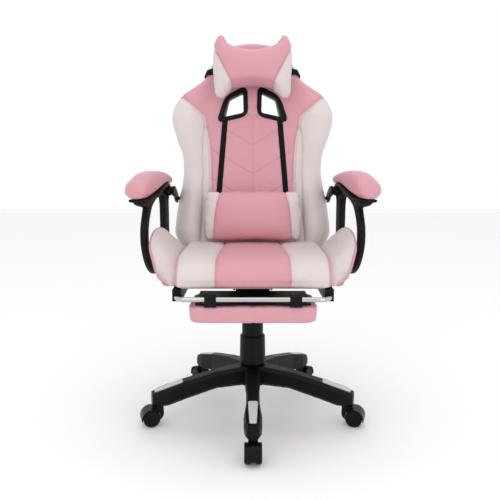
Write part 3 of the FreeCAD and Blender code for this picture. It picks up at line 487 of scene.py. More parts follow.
def sew(name, lines, thread, body):
    """A dash of thread at each pitch along lines of (place, normal) pairs."""
    verts, faces = [], []
    for line in lines:
        if len(line) < 2:
            continue
        places = np.array([p for p, _ in line])
        normals = np.array([n for _, n in line])
        reach = np.concatenate([[0], np.cumsum(np.linalg.norm(np.diff(places, axis=0), axis=1))])
        for start in np.arange(STITCH["pitch"] / 2, reach[-1] - STITCH["length"], STITCH["pitch"]):
            ends = [start, start + STITCH["length"]]
            a, b = (Vector([np.interp(e, reach, places[:, k]) for k in range(3)]) for e in ends)
            up = Vector([np.interp(start, reach, normals[:, k]) for k in range(3)]).normalized()
            if (b - a).length < STITCH["length"] / 2:
                continue
            along = (b - a).normalized()
            across = along.cross(up).normalized() * (STITCH["width"] / 2)
            first = len(verts)
            middle = (a + b) / 2
            for place, share, lift in ((a, 0.35, -0.2), (middle, 1.0, 1.0), (b, 0.35, -0.2)):
                for side, height in ((-1, 0), (-0.6, 1), (0.6, 1), (1, 0)):
                    rise = up * (STITCH["height"] * (lift if height else -0.5))
                    verts.append(place + across * side * share + rise)
            dash = [*skin(3, 4), (0, 1, 2, 3), (8, 9, 10, 11)]
            faces += [tuple(first + i for i in face) for face in dash]
    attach(new_object(name, verts, faces, thread), body)


def tube(name, points, radius, material):
    """A round cord of piping along points."""
    curve = bpy.data.curves.new(name, "CURVE")
    curve.dimensions = "3D"
    curve.bevel_depth = radius
    curve.bevel_resolution = 3
    curve.use_fill_caps = True
    spline = curve.splines.new("POLY")
    spline.points.add(len(points) - 1)
    spline.points.foreach_set("co", np.column_stack([points, np.ones(len(points))]).ravel())
    return as_mesh(name, curve, Matrix.Identity(4), material)


def as_mesh(name, curve, matrix, material):
    """A mesh piece from a bevelled curve."""
    holder = link(name + "_curve", curve)
    graph = bpy.context.evaluated_depsgraph_get()
    mesh = bpy.data.meshes.new_from_object(holder.evaluated_get(graph))
    bpy.data.objects.remove(holder)
    mesh.transform(matrix)
    welded(mesh, False)
    mesh.materials.clear()
    mesh.materials.append(material)
    return link(name, mesh)


def moulding(name, outlines, thickness, edge, matrix, material):
    """A flat moulding with rounded edges. The first outline is its edge and the others are holes."""
    curve = bpy.data.curves.new(name, "CURVE")
    curve.dimensions = "2D"
    curve.fill_mode = "BOTH"
    curve.extrude = thickness / 2 - edge
    curve.bevel_depth = edge
    curve.bevel_resolution = 4
    curve.offset = -edge
    for number, outline in enumerate(outlines):
        points = np.array(outline)
        area = np.sum(points[:, 0] * np.roll(points[:, 1], -1) - np.roll(points[:, 0], -1) * points[:, 1])
        if (area > 0) == (number > 0):
            points = points[::-1]
        spline = curve.splines.new("POLY")
        spline.points.add(len(points) - 1)
        rows = np.column_stack([points, np.zeros(len(points)), np.ones(len(points))])
        spline.points.foreach_set("co", rows.ravel())
        spline.use_cyclic_u = True
    return as_mesh(name, curve, matrix, material)


def turned(name, profile, matrix, material):
    """A turned piece from a closed (radius, height) profile about its own Z axis."""
    count = 48
    loops = []
    for k in range(count):
        angle = 2 * math.pi * k / count
        loops.append([(r * math.cos(angle), r * math.sin(angle), z) for r, z in profile])
    made = new_object(name, np.vstack(loops), skin(count, len(profile), True), material)
    made.data.transform(matrix)
    made.data.update()
    return made


def together(name, parts):
    """Joins pieces of one material into one object."""
    whole = bmesh.new()
    for part in parts:
        whole.from_mesh(part.data)
    mesh = parts[0].data.copy()
    whole.to_mesh(mesh)
    whole.free()
    for part in parts:
        bpy.data.objects.remove(part)
    return link(name, mesh)


def stand_in(piece, node, body):
    """The piece replaces a CAD node and rides on the node's body."""
    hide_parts(node)
    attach(piece, body)


def ribbon(name, line, width, thickness, material, lift):
    """A flat strap with soft edges along (place, normal) pairs."""
    places = np.array([p for p, _ in line])
    normals = np.array([n for _, n in line])
    along = np.gradient(places, axis=0)
    across = np.cross(along, normals)
    across /= np.linalg.norm(across, axis=1)[:, None]
    section = [(0.5, 0.7), (0.46, 1), (-0.46, 1), (-0.5, 0.7), (-0.5, 0.3), (-0.46, 0), (0.46, 0),
               (0.5, 0.3)]
    loops = []
    for place, normal, side in zip(places, normals, across):
        loops.append([place + side * (u * width) + normal * (v * thickness + lift) for u, v in section])
    return loft(name, loops, material)


# ---------------------------------------------------------------- the back
LEAN = math.radians(10)
BACK_FOOT = (110, 500)
BACK_DEPTH = 85
BACK_EDGE = [
    (222, 0), (245, 44), (247, 76), (238, 145), (225, 215), (222, 262), (226, 310), (240, 350),
    (256, 405), (258, 447), (236, 497), (200, 522), (170, 544), (151, 566), (139, 592), (118, 628),
]
BACK_CROWN = [(0, 672), (84, 658), (118, 628)]
IVORY_WING = [
    (300, 512), (236, 500), (196, 466), (155, 432), (150, 396), (141, 355), (136, 305),
    (134, 244), (133, 183), (133, -40), (300, -40),
]
INNER_SEAM = [(150, 398), (156, 372), (157, 305), (155, 244), (156, 183), (160, 90), (166, 4)]
SLOT = [(31, 513), (77, 490), (96, 430), (29, 445)]
SLOT_RISE = 20
BACK_POINTS = 176
STRAP_LINE = [(88.5, 424), (113, 120)]
CHEVRON_RISE = 0.6
CHEVRONS = (148, 243, 338, 433)


def leaning(rows):
    """Places from rows of (across, behind the front face, height along the back), in mm."""
    x, depth, height = np.atleast_2d(np.array(rows, float)).T
    c, s = math.cos(LEAN), math.sin(LEAN)
    y = BACK_FOOT[0] + depth * c + height * s
    z = BACK_FOOT[1] - depth * s + height * c
    return np.column_stack([x, y, z]) * MM


def unleaned(places):
    """The reverse of leaning: across, depth and height columns, in mm."""
    x, y, z = (np.asarray(places) / MM).T
    y, z = y - BACK_FOOT[0], z - BACK_FOOT[1]
    c, s = math.cos(LEAN), math.sin(LEAN)
    return x, y * c - z * s, y * s + z * c


INTO_BACK = Vector((0, math.cos(LEAN), -math.sin(LEAN)))
EDGE_CURVE = smooth(BACK_EDGE, 240)


def half_width(height):
    return np.interp(height, EDGE_CURVE[:, 1], EDGE_CURVE[:, 0])


def wing_lift(x, height):
    """How far the padded wings stand forward of the back's middle."""
    tall = np.interp(height, [0, 60, 190, 262, 330, 430, 500, 560], [16, 30, 26, 10, 18, 27, 12, 0])
    share = np.clip((np.abs(x) - 128) / (half_width(height) - 128), 0, 1)
    return tall * step(share, 0, 0.62) * (1 - 0.45 * step(share, 0.6, 1.0))


def back_loop(height, inset=0.0, grow=0.0):
    """One level section of the back, as (across, depth, height) rows."""
    half = half_width(height) - inset * 0.8 + grow
    loop = rounded_loop(half, inset - grow, BACK_DEPTH - inset + grow, 20, 24, BACK_POINTS)
    x, depth = loop.T
    front = np.clip((BACK_DEPTH / 2 - depth) / (BACK_DEPTH / 2 - inset), 0, 1)
    depth = depth - front * (wing_lift(x, height) + 5 * (1 - (x / half) ** 2))
    crown = smooth([*BACK_CROWN[::-1], (-84, 658)], 60)[::-1]
    peak = np.interp(np.abs(x), crown[:, 0], crown[:, 1]) - BACK_CROWN[-1][1]
    raised = height + peak * step(height, 500, 628)
    return np.column_stack([x, depth, raised])


def make_back():
    turns = np.linspace(math.pi / 2, 0, 5)[:-1]
    end = 15
    rows = [back_loop(end * (1 - math.sin(a)), end * (1 - math.cos(a))) for a in turns]
    rows += [back_loop(h) for h in np.linspace(end, 628 - end, 104)]
    rows += [back_loop(628 - end * (1 - math.sin(a)), end * (1 - math.cos(a))) for a in turns[::-1]]
    cover = loft("back_cover", [leaning(row) for row in rows], LEATHER)
    refined(cover)
    x, depth, height = unleaned(spots(cover))
    flat = np.column_stack([np.abs(x), height])
    front = step(-depth, -30, -12)
    wing = distance(flat, IVORY_WING[1:-1])
    inner = distance(flat, INNER_SEAM)
    seam = np.minimum(wing, inner)
    strap = distance(flat, STRAP_LINE)
    slot = np.maximum(-signed(flat, SLOT), 0)
    amount = -4.2 * np.exp(-((wing / 4.2) ** 2)) - 4.6 * np.exp(-((inner / 4.5) ** 2))
    amount += 4.0 * (1 - np.exp(-seam / 22))
    chevron = np.min([np.abs(height - (v + CHEVRON_RISE * np.abs(x))) for v in CHEVRONS], axis=0)
    quilt = (flat[:, 0] < 132) & (height < 470) & (slot > 12)
    amount += np.where(quilt, -2.6 * np.exp(-((chevron / 2.4) ** 2)), 0)
    amount += np.where(height < 440, -2.4 * np.exp(-((x / 2.4) ** 2)), 0)
    amount -= 1.6 * np.exp(-((strap / 10) ** 2)) * (height < 415)
    amount -= 6.5 * np.exp(-((slot / 22) ** 2))
    creases = wrinkles(cover, (26, 26, 15), (70, 70, 34), (1, 2), 0.6)
    amount += 1.5 * creases * np.exp(-seam / 26) * (height < 480)
    amount = amount * front
    outermost = np.abs(x) > half_width(height) - 14
    side_seam = np.exp(-(((depth - 12) / 4) ** 2)) * (1 - step(-depth, -9, 0)) * outermost
    amount -= 2.4 * side_seam
    behind = step(depth, 70, 84)
    rear_seam = np.abs(np.abs(x) - (half_width(height) - 42))
    amount += behind * (-2.6 * np.exp(-((rear_seam / 4.5) ** 2)) + 3.0 * (1 - np.exp(-rear_seam / 25)) - 3.0)
    displace(cover, amount * MM)
    for side in SIDES.values():
        cutter = slot_prism(side, 5)
        hole = cover.modifiers.new("slot", "BOOLEAN")
        hole.operation = "DIFFERENCE"
        hole.solver = "EXACT"
        hole.object = cutter
        applied(cover)
        bpy.data.objects.remove(cutter)
    x, depth, height = unleaned(spots(cover))
    flat = np.column_stack([np.abs(x), height])
    paint(cover, np.minimum(signed(flat, IVORY_WING), 16 - depth) * MM)
    stand_in(cover, "back_cushion", "back")
    return cover


def corner_rounded(points, radius, count=7):
    """A polygon with each corner turned into an arc-like bend."""
    p = np.array(points, float)
    made = []
    for before, here, after in zip(np.roll(p, 1, axis=0), p, np.roll(p, -1, axis=0)):
        a = here + (before - here) / np.linalg.norm(before - here) * radius
        b = here + (after - here) / np.linalg.norm(after - here) * radius
        for t in np.linspace(0, 1, count):
            made.append((1 - t) ** 2 * a + 2 * t * (1 - t) * here + t**2 * b)
    return np.array(made)


def grown(points, gap):
    """A polygon with every side moved out by a gap."""
    p = np.array(points, float)
    centre = p.mean(axis=0)
    made = []
    for before, here, after in zip(np.roll(p, 1, axis=0), p, np.roll(p, -1, axis=0)):
        normals = []
        for a, b in ((before, here), (here, after)):
            n = np.array([(b - a)[1], -(b - a)[0]]) / np.linalg.norm(b - a)
            normals.append(n if n @ (a - centre) > 0 else -n)
        made.append(here + (normals[0] + normals[1]) * gap / (1 + normals[0] @ normals[1]))
    return np.array(made)


def slot_outline(side, depth, gap, radius):
    """The slot's outline at a depth. Its top rises towards the rear, so that one can see through it."""
    rise = SLOT_RISE * depth / BACK_DEPTH
    corners = [(x, h + rise * (h > 470)) for x, h in SLOT]
    flat = corner_rounded(grown(corners, gap), radius)
    return np.column_stack([side * flat[:, 0], np.full(len(flat), depth), flat[:, 1]])


def slot_prism(side, gap):
    ends = [slot_outline(side, depth, gap, 12) for depth in (-60, 150)]
    count = len(ends[0])
    faces = skin(2, count) + [tuple(range(count)), tuple(range(2 * count - 1, count - 1, -1))]
    return new_object("slot_cutter", leaning(np.vstack(ends)), faces, LEATHER)


def back_matrix():
    """From the back's front view (across, up, towards the viewer), in metres, to its place."""
    c, s = math.cos(LEAN), math.sin(LEAN)
    foot = (0, BACK_FOOT[0] * MM, BACK_FOOT[1] * MM)
    turn = Matrix(((1, 0, 0), (0, s, -c), (0, c, s)))
    return Matrix.Translation(foot) @ turn.to_4x4()


def make_bezels():
    """Thick rounded rims on the front and rear of each slot, and the sleeve between them."""
    parts = []
    for side in SIDES.values():
        for depth, thick in ((-1.5, 13), (BACK_DEPTH + 1.5, 10)):
            place = back_matrix() @ Matrix.Translation((0, 0, -depth * MM))
            outlines = [slot_outline(side, depth, *shape)[:, ::2] * MM for shape in ((15.5, 30), (0, 8))]
            parts.append(moulding("rim", outlines, thick * MM, 4.2 * MM, place, PLASTIC))
        section = [(0, 3.5), (BACK_DEPTH, 3.5), (BACK_DEPTH, 0.2), (0, 0.2)]
        rings = [leaning(slot_outline(side, depth, gap, 8)) for depth, gap in section]
        parts.append(new_object("sleeve", np.vstack(rings), skin(4, len(rings[0]), True), PLASTIC))
    made = together("slot_rims", parts)
    stand_in(made, "slot_bezels", "back")


def front_line(tree, flat_points, count):
    """A line of (place, normal) pairs on the back's front, above (across, height) points."""
    flat = smooth(flat_points, count)
    origins = leaning(np.column_stack([flat[:, 0], np.full(len(flat), -150), flat[:, 1]]))
    return laid(tree, origins, INTO_BACK)


def evened(line, reach):
    """A line's places averaged with their neighbours, as a taut strap bridges the creases under it."""
    places = []
    for i in range(len(line)):
        near = [place for place, _ in line[max(i - reach, 0):i + reach + 1]]
        places.append(sum(near, Vector()) / len(near))
    places[0], places[-1] = line[0][0], line[-1][0]
    return places


def make_back_trim(cover):
    tree = surface(cover)
    straps = []
    for side in SIDES.values():
        line = front_line(tree, [(side * x, h) for x, h in STRAP_LINE], 90)
        line = [(place, -INTO_BACK) for place in evened(line, 7)]
        straps.append(ribbon("strap", line, 17.5 * MM, 1.9 * MM, WEBBING, 1.3 * MM))
    webbing = together("lumbar_straps_visual", straps)
    stand_in(webbing, "lumbar_straps", "back")

    pink_lines, ivory_lines = [], []
    for side in SIDES.values():
        for gap, kept in ((-5.5, pink_lines), (5.5, ivory_lines)):
            seam = [(side * (x + gap), h - gap * 0.7) for x, h in IVORY_WING[1:-1] if h > -20]
            kept.append(front_line(tree, [*seam[:-1], (side * (133 + gap), 6)], 260))
        ivory_lines.append(front_line(tree, [(side * (x + 5.5), h) for x, h in INNER_SEAM], 200))
        for start in CHEVRONS:
            ends = [(side * x, start + CHEVRON_RISE * x) for x in (4, 78)]
            pink_lines.append(front_line(tree, ends, 40))
            ends = [(side * x, start + CHEVRON_RISE * x) for x in (114, 128)]
            if start + CHEVRON_RISE * 128 < 400:
                pink_lines.append(front_line(tree, ends, 10))
    for gap in (-3.4, 3.4):
        pink_lines.append(front_line(tree, [(gap, 180), (gap, 425)], 120))
    sew("back_stitches_pink", pink_lines, PINK_THREAD, "back")
    sew("back_stitches_ivory", ivory_lines, IVORY_THREAD, "back")

    edges = []
    for side in SIDES.values():
        path = []
        for height in np.linspace(14, 600, 150):
            half = half_width(height)
            path.append((side * (half - 3.2), 15 - wing_lift(half, height) * 0.45, height))
        edges.append(tube("edge", leaning(path), 2.3 * MM, LEATHER))
    piping = together("back_piping", edges)
    paint(piping, np.full(len(piping.data.vertices), -1.0))
    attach(piping, "back")


def make_head_strap():
    """The elastic that holds the head pillow, once round the top of the back."""
    low, high = 568, 588
    section = [(2.0, low), (3.8, low + 1), (3.8, high - 1), (2.0, high)]
    rings = [leaning(back_loop(height, grow=grow + 5)) for grow, height in section]
    strap = new_object("head_strap_visual", np.vstack(rings), skin(4, BACK_POINTS, True), WEBBING)
    stand_in(strap, "head_strap", "head_pillow")


# ---------------------------------------------------------------- pillows
def pillow(name, place, columns, rows):
    """Two faces that meet in a seam round the edge. place(s, t, side) takes s and t from -1 to 1."""
    s, t = np.meshgrid(np.linspace(-1, 1, columns), np.linspace(-1, 1, rows), indexing="ij")
    verts, faces = [], []
    for side in (-1, 1):
        first = len(verts)
        verts.extend(place(s.ravel(), t.ravel(), side))
        for i in range(columns - 1):
            for j in range(rows - 1):
                a = first + i * rows + j
                faces.append((a, a + rows, a + rows + 1, a + 1))
    return new_object(name, verts, faces, LEATHER)


def bulge(s, t, power):
    return np.maximum(1 - np.abs(s) ** power, 0) ** 0.5 * np.maximum(1 - np.abs(t) ** power, 0) ** 0.5


def make_head_pillow():
    low = smooth([(-0.5, 502), (0, 510), (0.5, 502), (0.85, 478), (1, 479)], 90)
    high = smooth([(-0.35, 641), (0, 636), (0.35, 641), (0.68, 656), (0.88, 680), (1, 670)], 90)
    wide = smooth([(0, 114), (0.1, 122), (0.5, 127), (0.8, 129), (1, 118)], 60)

    def place(s, t, side):
        up = (t + 1) / 2
        x = s * np.interp(up, wide[:, 0], wide[:, 1])
        bottom = np.interp(np.abs(s), low[:, 0], low[:, 1])
        top = np.interp(np.abs(s), high[:, 0], high[:, 1])
        height = bottom + (top - bottom) * up
        depth = -53 + (34 if side > 0 else -41) * bulge(s, t, 2.6)
        return leaning(np.column_stack([x, depth, height]))

    made = pillow("head_pillow_cover", place, 53, 41)
    inflate(made)
    refined(made)
    x, depth, height = unleaned(spots(made))
    seam = distance(np.column_stack([np.abs(x), height]), [(64, 498), (68, 520), (96, 575), (127, 640)])
    creases = wrinkles(made, (34, 34, 20), (90, 90, 50), (3, 4))
    rim = 1 - bulge(np.clip(x / 129, -1, 1), np.clip((height - 575) / 92, -1, 1), 4)
    amount = -3.6 * np.exp(-((seam / 3.6) ** 2)) + 2.6 * (1 - np.exp(-seam / 18))
    amount += 1.7 * creases * (np.exp(-seam / 16) + 0.8 * rim)
    displace(made, amount * MM)
    x, depth, height = unleaned(spots(made))
    corner = [(64, 470), (64, 498), (68, 520), (96, 575), (127, 640), (160, 660), (160, 470)]
    paint(made, signed(np.column_stack([np.abs(x), height]), corner) * MM)
    stand_in(made, "head_pillow", "head_pillow")
    tree = surface(made)
    lines = []
    for side in SIDES.values():
        for gap in (-4.5, 4.5):
            seam = [(side * (x + gap), h) for x, h in [(66, 508), (72, 530), (96, 575), (122, 630)]]
            lines.append(front_line(tree, seam, 80))
    sew("head_pillow_stitches", lines, PINK_THREAD, "head_pillow")


def make_lumbar_pillow():
    def place(s, t, side):
        x = s * (151 - 5 * t**2)
        height = 104 + 78 * t * (1 - 0.06 * s**4)
        depth = -54 + (35 if side > 0 else -46) * bulge(s, t, 2.5)
        return leaning(np.column_stack([x, depth, height]))

    made = pillow("lumbar_pillow_cover", place, 61, 35)
    inflate(made)
    refined(made)
    line = [(124, 20), (122, 60), (119, 100), (113, 140), (104, 172), (98, 195)]
    x, depth, height = unleaned(spots(made))
    seam = distance(np.column_stack([np.abs(x), height]), line)
    creases = wrinkles(made, (22, 40, 60), (50, 90, 120), (5, 6))
    amount = -4.0 * np.exp(-((seam / 3.8) ** 2)) + 2.4 * (1 - np.exp(-seam / 18))
    amount += 1.9 * creases * (np.exp(-seam / 14) + step(np.abs(x), 120, 150))
    displace(made, amount * MM)
    x, depth, height = unleaned(spots(made))
    outside = [(124, -40), *line, (98, 260), (220, 260), (220, -40)]
    paint(made, signed(np.column_stack([np.abs(x), height]), outside) * MM)
    stand_in(made, "lumbar_pillow", "lumbar_pillow")
    tree = surface(made)
    lines = [front_line(tree, [(side * (x + gap), h) for x, h in [(123, 45), *line[1:5]]], 90)
             for side in SIDES.values() for gap in (-4.5, 4.5)]
    sew("lumbar_pillow_stitches", lines, PINK_THREAD, "lumbar_pillow")


# ---------------------------------------------------------------- the seat
SEAT_SIDE = [
    (104, 488), (100, 515), (88, 525), (50, 527), (0, 527), (-60, 526.5), (-120, 525.5), (-170, 523),
    (-204, 516),
    (-228, 504), (-243, 488), (-250, 468), (-248, 453), (-238, 448.5), (-200, 448), (-60, 448), (60, 448),
    (90, 449), (102, 462),
]


def inset(loop, gap):
    """A closed outline moved in by a gap."""
    ahead = np.roll(loop, -1, axis=0) - np.roll(loop, 1, axis=0)
    ahead /= np.linalg.norm(ahead, axis=1)[:, None]
    inward = np.column_stack([-ahead[:, 1], ahead[:, 0]])
    if np.sum((loop.mean(axis=0) - loop) * inward) < 0:
        inward = -inward
    return loop + inward * gap


def seat_seam(y):
    """How far from the middle the seat's two seams run."""
    return np.interp(y, [-250, -200, 50, 100], [101, 101, 88, 86])


def make_seat():
    side = smooth(SEAT_SIDE, 180, closed=True)
    half, round_off = 203.5, 13
    outer = [(half - round_off * (1 - math.sin(a)), round_off * (1 - math.cos(a)))
             for a in np.linspace(math.pi / 2, 0, 5)]
    middle = [(x, 0) for x in np.linspace(half - round_off, round_off - half, 64)[1:-1]]
    every = [*outer, *middle, *[(-x, gap) for x, gap in outer[::-1]]]
    loops = []
    for x, gap in every:
        flat = inset(side, gap)
        loops.append(np.column_stack([np.full(len(flat), x), flat]) * MM)
    made = loft("seat_cover", loops, LEATHER)
    x, y, z = (spots(made) / MM).T
    seam = np.abs(np.abs(x) - seat_seam(y))
    top = step(z, 470, 505)
    edge = np.abs(np.abs(x) - 198)
    amount = -4.2 * np.exp(-((seam / 4.2) ** 2)) + 4.4 * (1 - np.exp(-seam / 24))
    amount -= 2.4 * np.exp(-((edge / 4) ** 2))
    front = step(-y, 205, 245)
    creases = wrinkles(made, (16, 30, 30), (50, 80, 80), (7, 8), 0.6)
    amount += creases * (1.2 * np.exp(-seam / 30) + 1.4 * front)
    hem = np.exp(-(((z - 462) / 4) ** 2)) * front
    amount = amount * np.maximum(top, front * step(z, 448, 456)) - 2.6 * hem
    displace(made, amount * MM)
    x, y, z = (spots(made) / MM).T
    paint(made, np.minimum(np.abs(x) - seat_seam(y), 198.5 - np.abs(x)) * MM)
    stand_in(made, "seat_cushion", "seat")
    tree = surface(made)
    lines = {"pink": [], "ivory": []}
    for sign in SIDES.values():
        for gap, kept in ((-5.5, "pink"), (5.5, "ivory")):
            ys = np.linspace(96, -226, 150)
            origins = np.column_stack([sign * (seat_seam(ys) + gap), ys, np.full(len(ys), 620)]) * MM
            line = laid(tree, origins, (0, 0, -1))
            zs = np.linspace(498, 456, 24)
            aside = np.full(len(zs), sign * (101 + gap))
            origins = np.column_stack([aside, np.full(len(zs), -400), zs]) * MM
            lines[kept] += [line, laid(tree, origins, (0, 1, 0))]
    sew("seat_stitches_pink", lines["pink"], PINK_THREAD, "seat")
    sew("seat_stitches_ivory", lines["ivory"], IVORY_THREAD, "seat")


# A wing's sections: y, then the crest's place and the height of its seam with the seat.
WING_CRESTS = [
    (-216, 240, 452, 458), (-205, 247, 463, 470), (-190, 262, 476, 484), (-165, 276, 512, 496),
    (-140, 288, 549, 505),
    (-100, 287, 578, 512), (-50, 273, 588, 516), (-5, 252, 563, 518), (38, 224, 524, 516),
    (58, 214, 506, 508),
]


def make_wing(name, side):
    """A padded wing beside the seat: ivory on its inner face, pink outside."""
    crests = smooth(WING_CRESTS, 56)
    loops, outer = [], []
    for y, crest_x, crest_z, seam_z in crests:
        base = min(446, seam_z - 8)
        foot = min(crest_x - 8, 214 + (crest_x - 214) * 0.55)
        tall = crest_z - base
        outline = [
            (206.5, (base + seam_z) / 2), (206.5, seam_z - 3),
            (206.5 + (crest_x - 206.5) * 0.45, seam_z + (crest_z - seam_z) * 0.42 + 2),
            (crest_x - 12, crest_z - 5), (crest_x - 3, crest_z), (crest_x + 1, crest_z - 0.12 * tall),
            (crest_x - (crest_x - foot) * 0.45, base + 0.45 * tall), (foot, base + 5),
            (foot - 5, base + 1), (208, base + 1),
        ]
        loop = smooth(outline, 72, closed=True)
        loops.append(np.column_stack([side * loop[:, 0], np.full(len(loop), y), loop[:, 1]]))
        rows = np.column_stack([side * loop[:, 0], loop[:, 1]])
        face = np.array([(side * (crest_x + 1), crest_z - 0.10 * tall), (side * foot, base)])
        along = (face[1] - face[0]) / np.linalg.norm(face[1] - face[0])
        normal = np.array([-along[1], along[0]]) * (1 if -along[1] * side < 0 else -1)
        outer.append((rows - face[0]) @ normal - 5.5)
    ends = []
    for loop, way in ((loops[0], -1), (loops[-1], 1)):
        centre = loop.mean(axis=0)
        rounded = []
        for share, out in ((0.94, 2.5), (0.8, 5), (0.5, 7)):
            rounded.append(centre + (loop - centre) * share + np.array((0, way * out, 0)))
        ends.append(rounded)
    every = [*ends[0][::-1], *loops, *ends[1]]
    tints = [outer[0]] * 3 + outer + [outer[-1]] * 3
    made = loft(f"wing_{name}_cover", [loop * MM for loop in every], LEATHER)
    tint = np.concatenate(tints)
    paint(made, tint * MM)
    x, y, z = (spots(made) / MM).T
    low = np.exp(-(((z - 474) / 4) ** 2)) * step(-y, 150, 175)
    creases = wrinkles(made, (40, 22, 40), (90, 60, 90), (9 + side, 12 + side))
    border = np.exp(-((tint / 3.5) ** 2))
    displace(made, (-2.2 * border - 2.6 * low + 1.1 * creases * step(np.abs(x), 210, 225)) * MM)
    stand_in(made, f"seat_bolster_{name}", "seat")
    path = []
    for y, crest_x, crest_z, _ in crests[1:-2]:
        path.append((side * (crest_x - 2.5), y, crest_z - 1.2))
    piping = tube(f"wing_{name}_piping", np.array(path) * MM, 2.0 * MM, LEATHER)
    paint(piping, np.full(len(piping.data.vertices), -1.0))
    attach(piping, "seat")


# ---------------------------------------------------------------- footrest
def make_footrest_pad():
    low, high = (np.array(v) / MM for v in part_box("footrest_pad"))
    front, rear, bottom, top = low[1], high[1], low[2], high[2]
    half = high[0] + 7
    count = 128

    def level(z, gap):
        loop = rounded_loop(half - gap, front + gap, rear - gap, 24, 44, count)
        return np.column_stack([loop, np.full(count, z)])

    edge, rim = 13, 5
    turns = np.linspace(0, math.pi / 2, 6)
    loops = [level(bottom + edge * (1 - math.sin(a)), edge * (1 - math.cos(a))) for a in turns[::-1]]
    loops += [level(z, 0) for z in np.linspace(bottom + edge, top - rim, 7)[1:]]
    loops += [level(top - rim + rim * math.sin(a), rim * (1 - math.cos(a))) for a in turns[1:]]
    made = loft("footrest_pad_cover", [loop * MM for loop in loops], LEATHER)
    refined(made)
    x, y, z = (spots(made) / MM).T
    creases = wrinkles(made, (30, 30, 14), (75, 75, 30), (20, 21), 0.6)
    upper = step(z, 385, 404)
    seam = np.exp(-(((z - 372) / 3) ** 2)) * (np.abs(y - (front + rear) / 2) > 60)
    centre = np.exp(-((x / 3) ** 2)) * 0.9
    displace(made, (1.3 * creases * (0.35 + upper) - 1.3 * centre - 1.6 * seam * 0.6 - 1.0) * MM)
    paint(made, np.full(len(made.data.vertices), -1.0))
    stand_in(made, "footrest_pad", "footrest_panel")


# ---------------------------------------------------------------- armrests
ARM_CENTRE = 288
ARM_YAW = math.radians(10)
ARM_TOP = [(-166, 675), (-122, 678), (-62, 690), (10, 710), (62, 716), (96, 714)]
ARM_PIVOT = (60, 488)
LINK_PIN = (75, 690)
LINK_STUD = (165, 662)


def arm_matrix(side):
    """From the armrest's own frame (outwards on the left, along, up) to its place, in metres."""
    return Matrix.Translation((side * ARM_CENTRE * MM, 0, 0)) @ Matrix.Rotation(side * ARM_YAW, 4, "Z")


SIDE_VIEW = Matrix(((0, 0, 1), (1, 0, 0), (0, 1, 0))).to_4x4()


def across(side, inner, spot):
    """Puts a turned piece on a pivot, its own Z running outwards along X from inner."""
    turn = Vector((side, 0, 0)).to_track_quat("Z", "Y").to_matrix().to_4x4()
    return Matrix.Translation(Vector((side * inner, *spot)) * MM) @ turn


def disc(radius, thick, edge=1.5):
    """The profile of a solid disc with rounded rims, in metres."""
    rows = [(0.01, 0), (radius - edge, 0), (radius - edge * 0.3, edge * 0.3), (radius, edge)]
    rows += [(r, thick - z) for r, z in rows[::-1]]
    return [(r * MM, z * MM) for r, z in rows]


def make_arm(name, side):
    top = smooth(ARM_TOP, 60)
    tail = smooth([(96, 714), (104, 706), (106, 694), (100, 677), (92, 660)], 20)
    rear = smooth([(92, 660), (92, 600), (90, 540), (84, 488), (72, 462), (44, 450), (-20, 446), (-62, 456),
                   (-98, 490), (-120, 540), (-121, 590), (-106, 630), (-99, 646)], 150)
    beak = smooth([(-99, 646), (-116, 651), (-148, 656), (-165, 663), (-166, 675)], 30)
    outer = np.vstack([top[:-1], tail[:-1], rear[:-1], beak[:-1]])
    opening = smooth([(-20, 472), (16, 474), (38, 492), (46, 540), (47, 600), (44, 656), (28, 677),
                      (2, 674), (-30, 664),
                      (-62, 644), (-88, 600), (-93, 555), (-82, 515), (-58, 482)], 150, closed=True)
    place = arm_matrix(side) @ SIDE_VIEW
    loop = moulding("loop", [outer * MM, opening * MM], 19 * MM, 7 * MM, place, PLASTIC)
    parts = [loop]
    parts.append(turned("boss", disc(20, 30, 4), across(side, 247, ARM_PIVOT), PLASTIC))
    parts.append(turned("boss", disc(15, 27, 3), across(side, 253, LINK_PIN), PLASTIC))
    parts.append(make_pad_holder(side))
    frame_piece = together(f"arm_frame_{name}_visual", parts)
    stand_in(frame_piece, f"arm_frame_{name}", f"arm_{name}")
    make_arm_pad(name, side)
    make_link(name, side)


def make_pad_holder(side):
    """The shallow moulded tray under the pad, wide at the hand and narrow behind."""
    top = smooth(ARM_TOP, 60)
    width = smooth([(-166, 16), (-158, 24), (-130, 29), (-60, 28), (20, 24), (70, 18), (96, 13)], 60)
    loops = []
    for u in np.linspace(-165, 96, 60):
        high = np.interp(u, top[:, 0], top[:, 1]) - 0.3
        half = np.interp(u, width[:, 0], width[:, 1])
        thick = 15 - 7 * step(-u, 120, 166)
        turns = (np.arange(24) + 0.5) / 24 * 2 * math.pi
        c, s = np.cos(turns), np.sin(turns)
        x = half * np.sign(c) * np.abs(c) ** 0.55
        z = high - thick / 2 + thick / 2 * np.sign(s) * np.abs(s) ** 0.5
        loops.append(np.column_stack([x, np.full(24, u), z]) * MM)
    made = loft("holder", loops, PLASTIC)
    made.data.transform(arm_matrix(side))
    return made


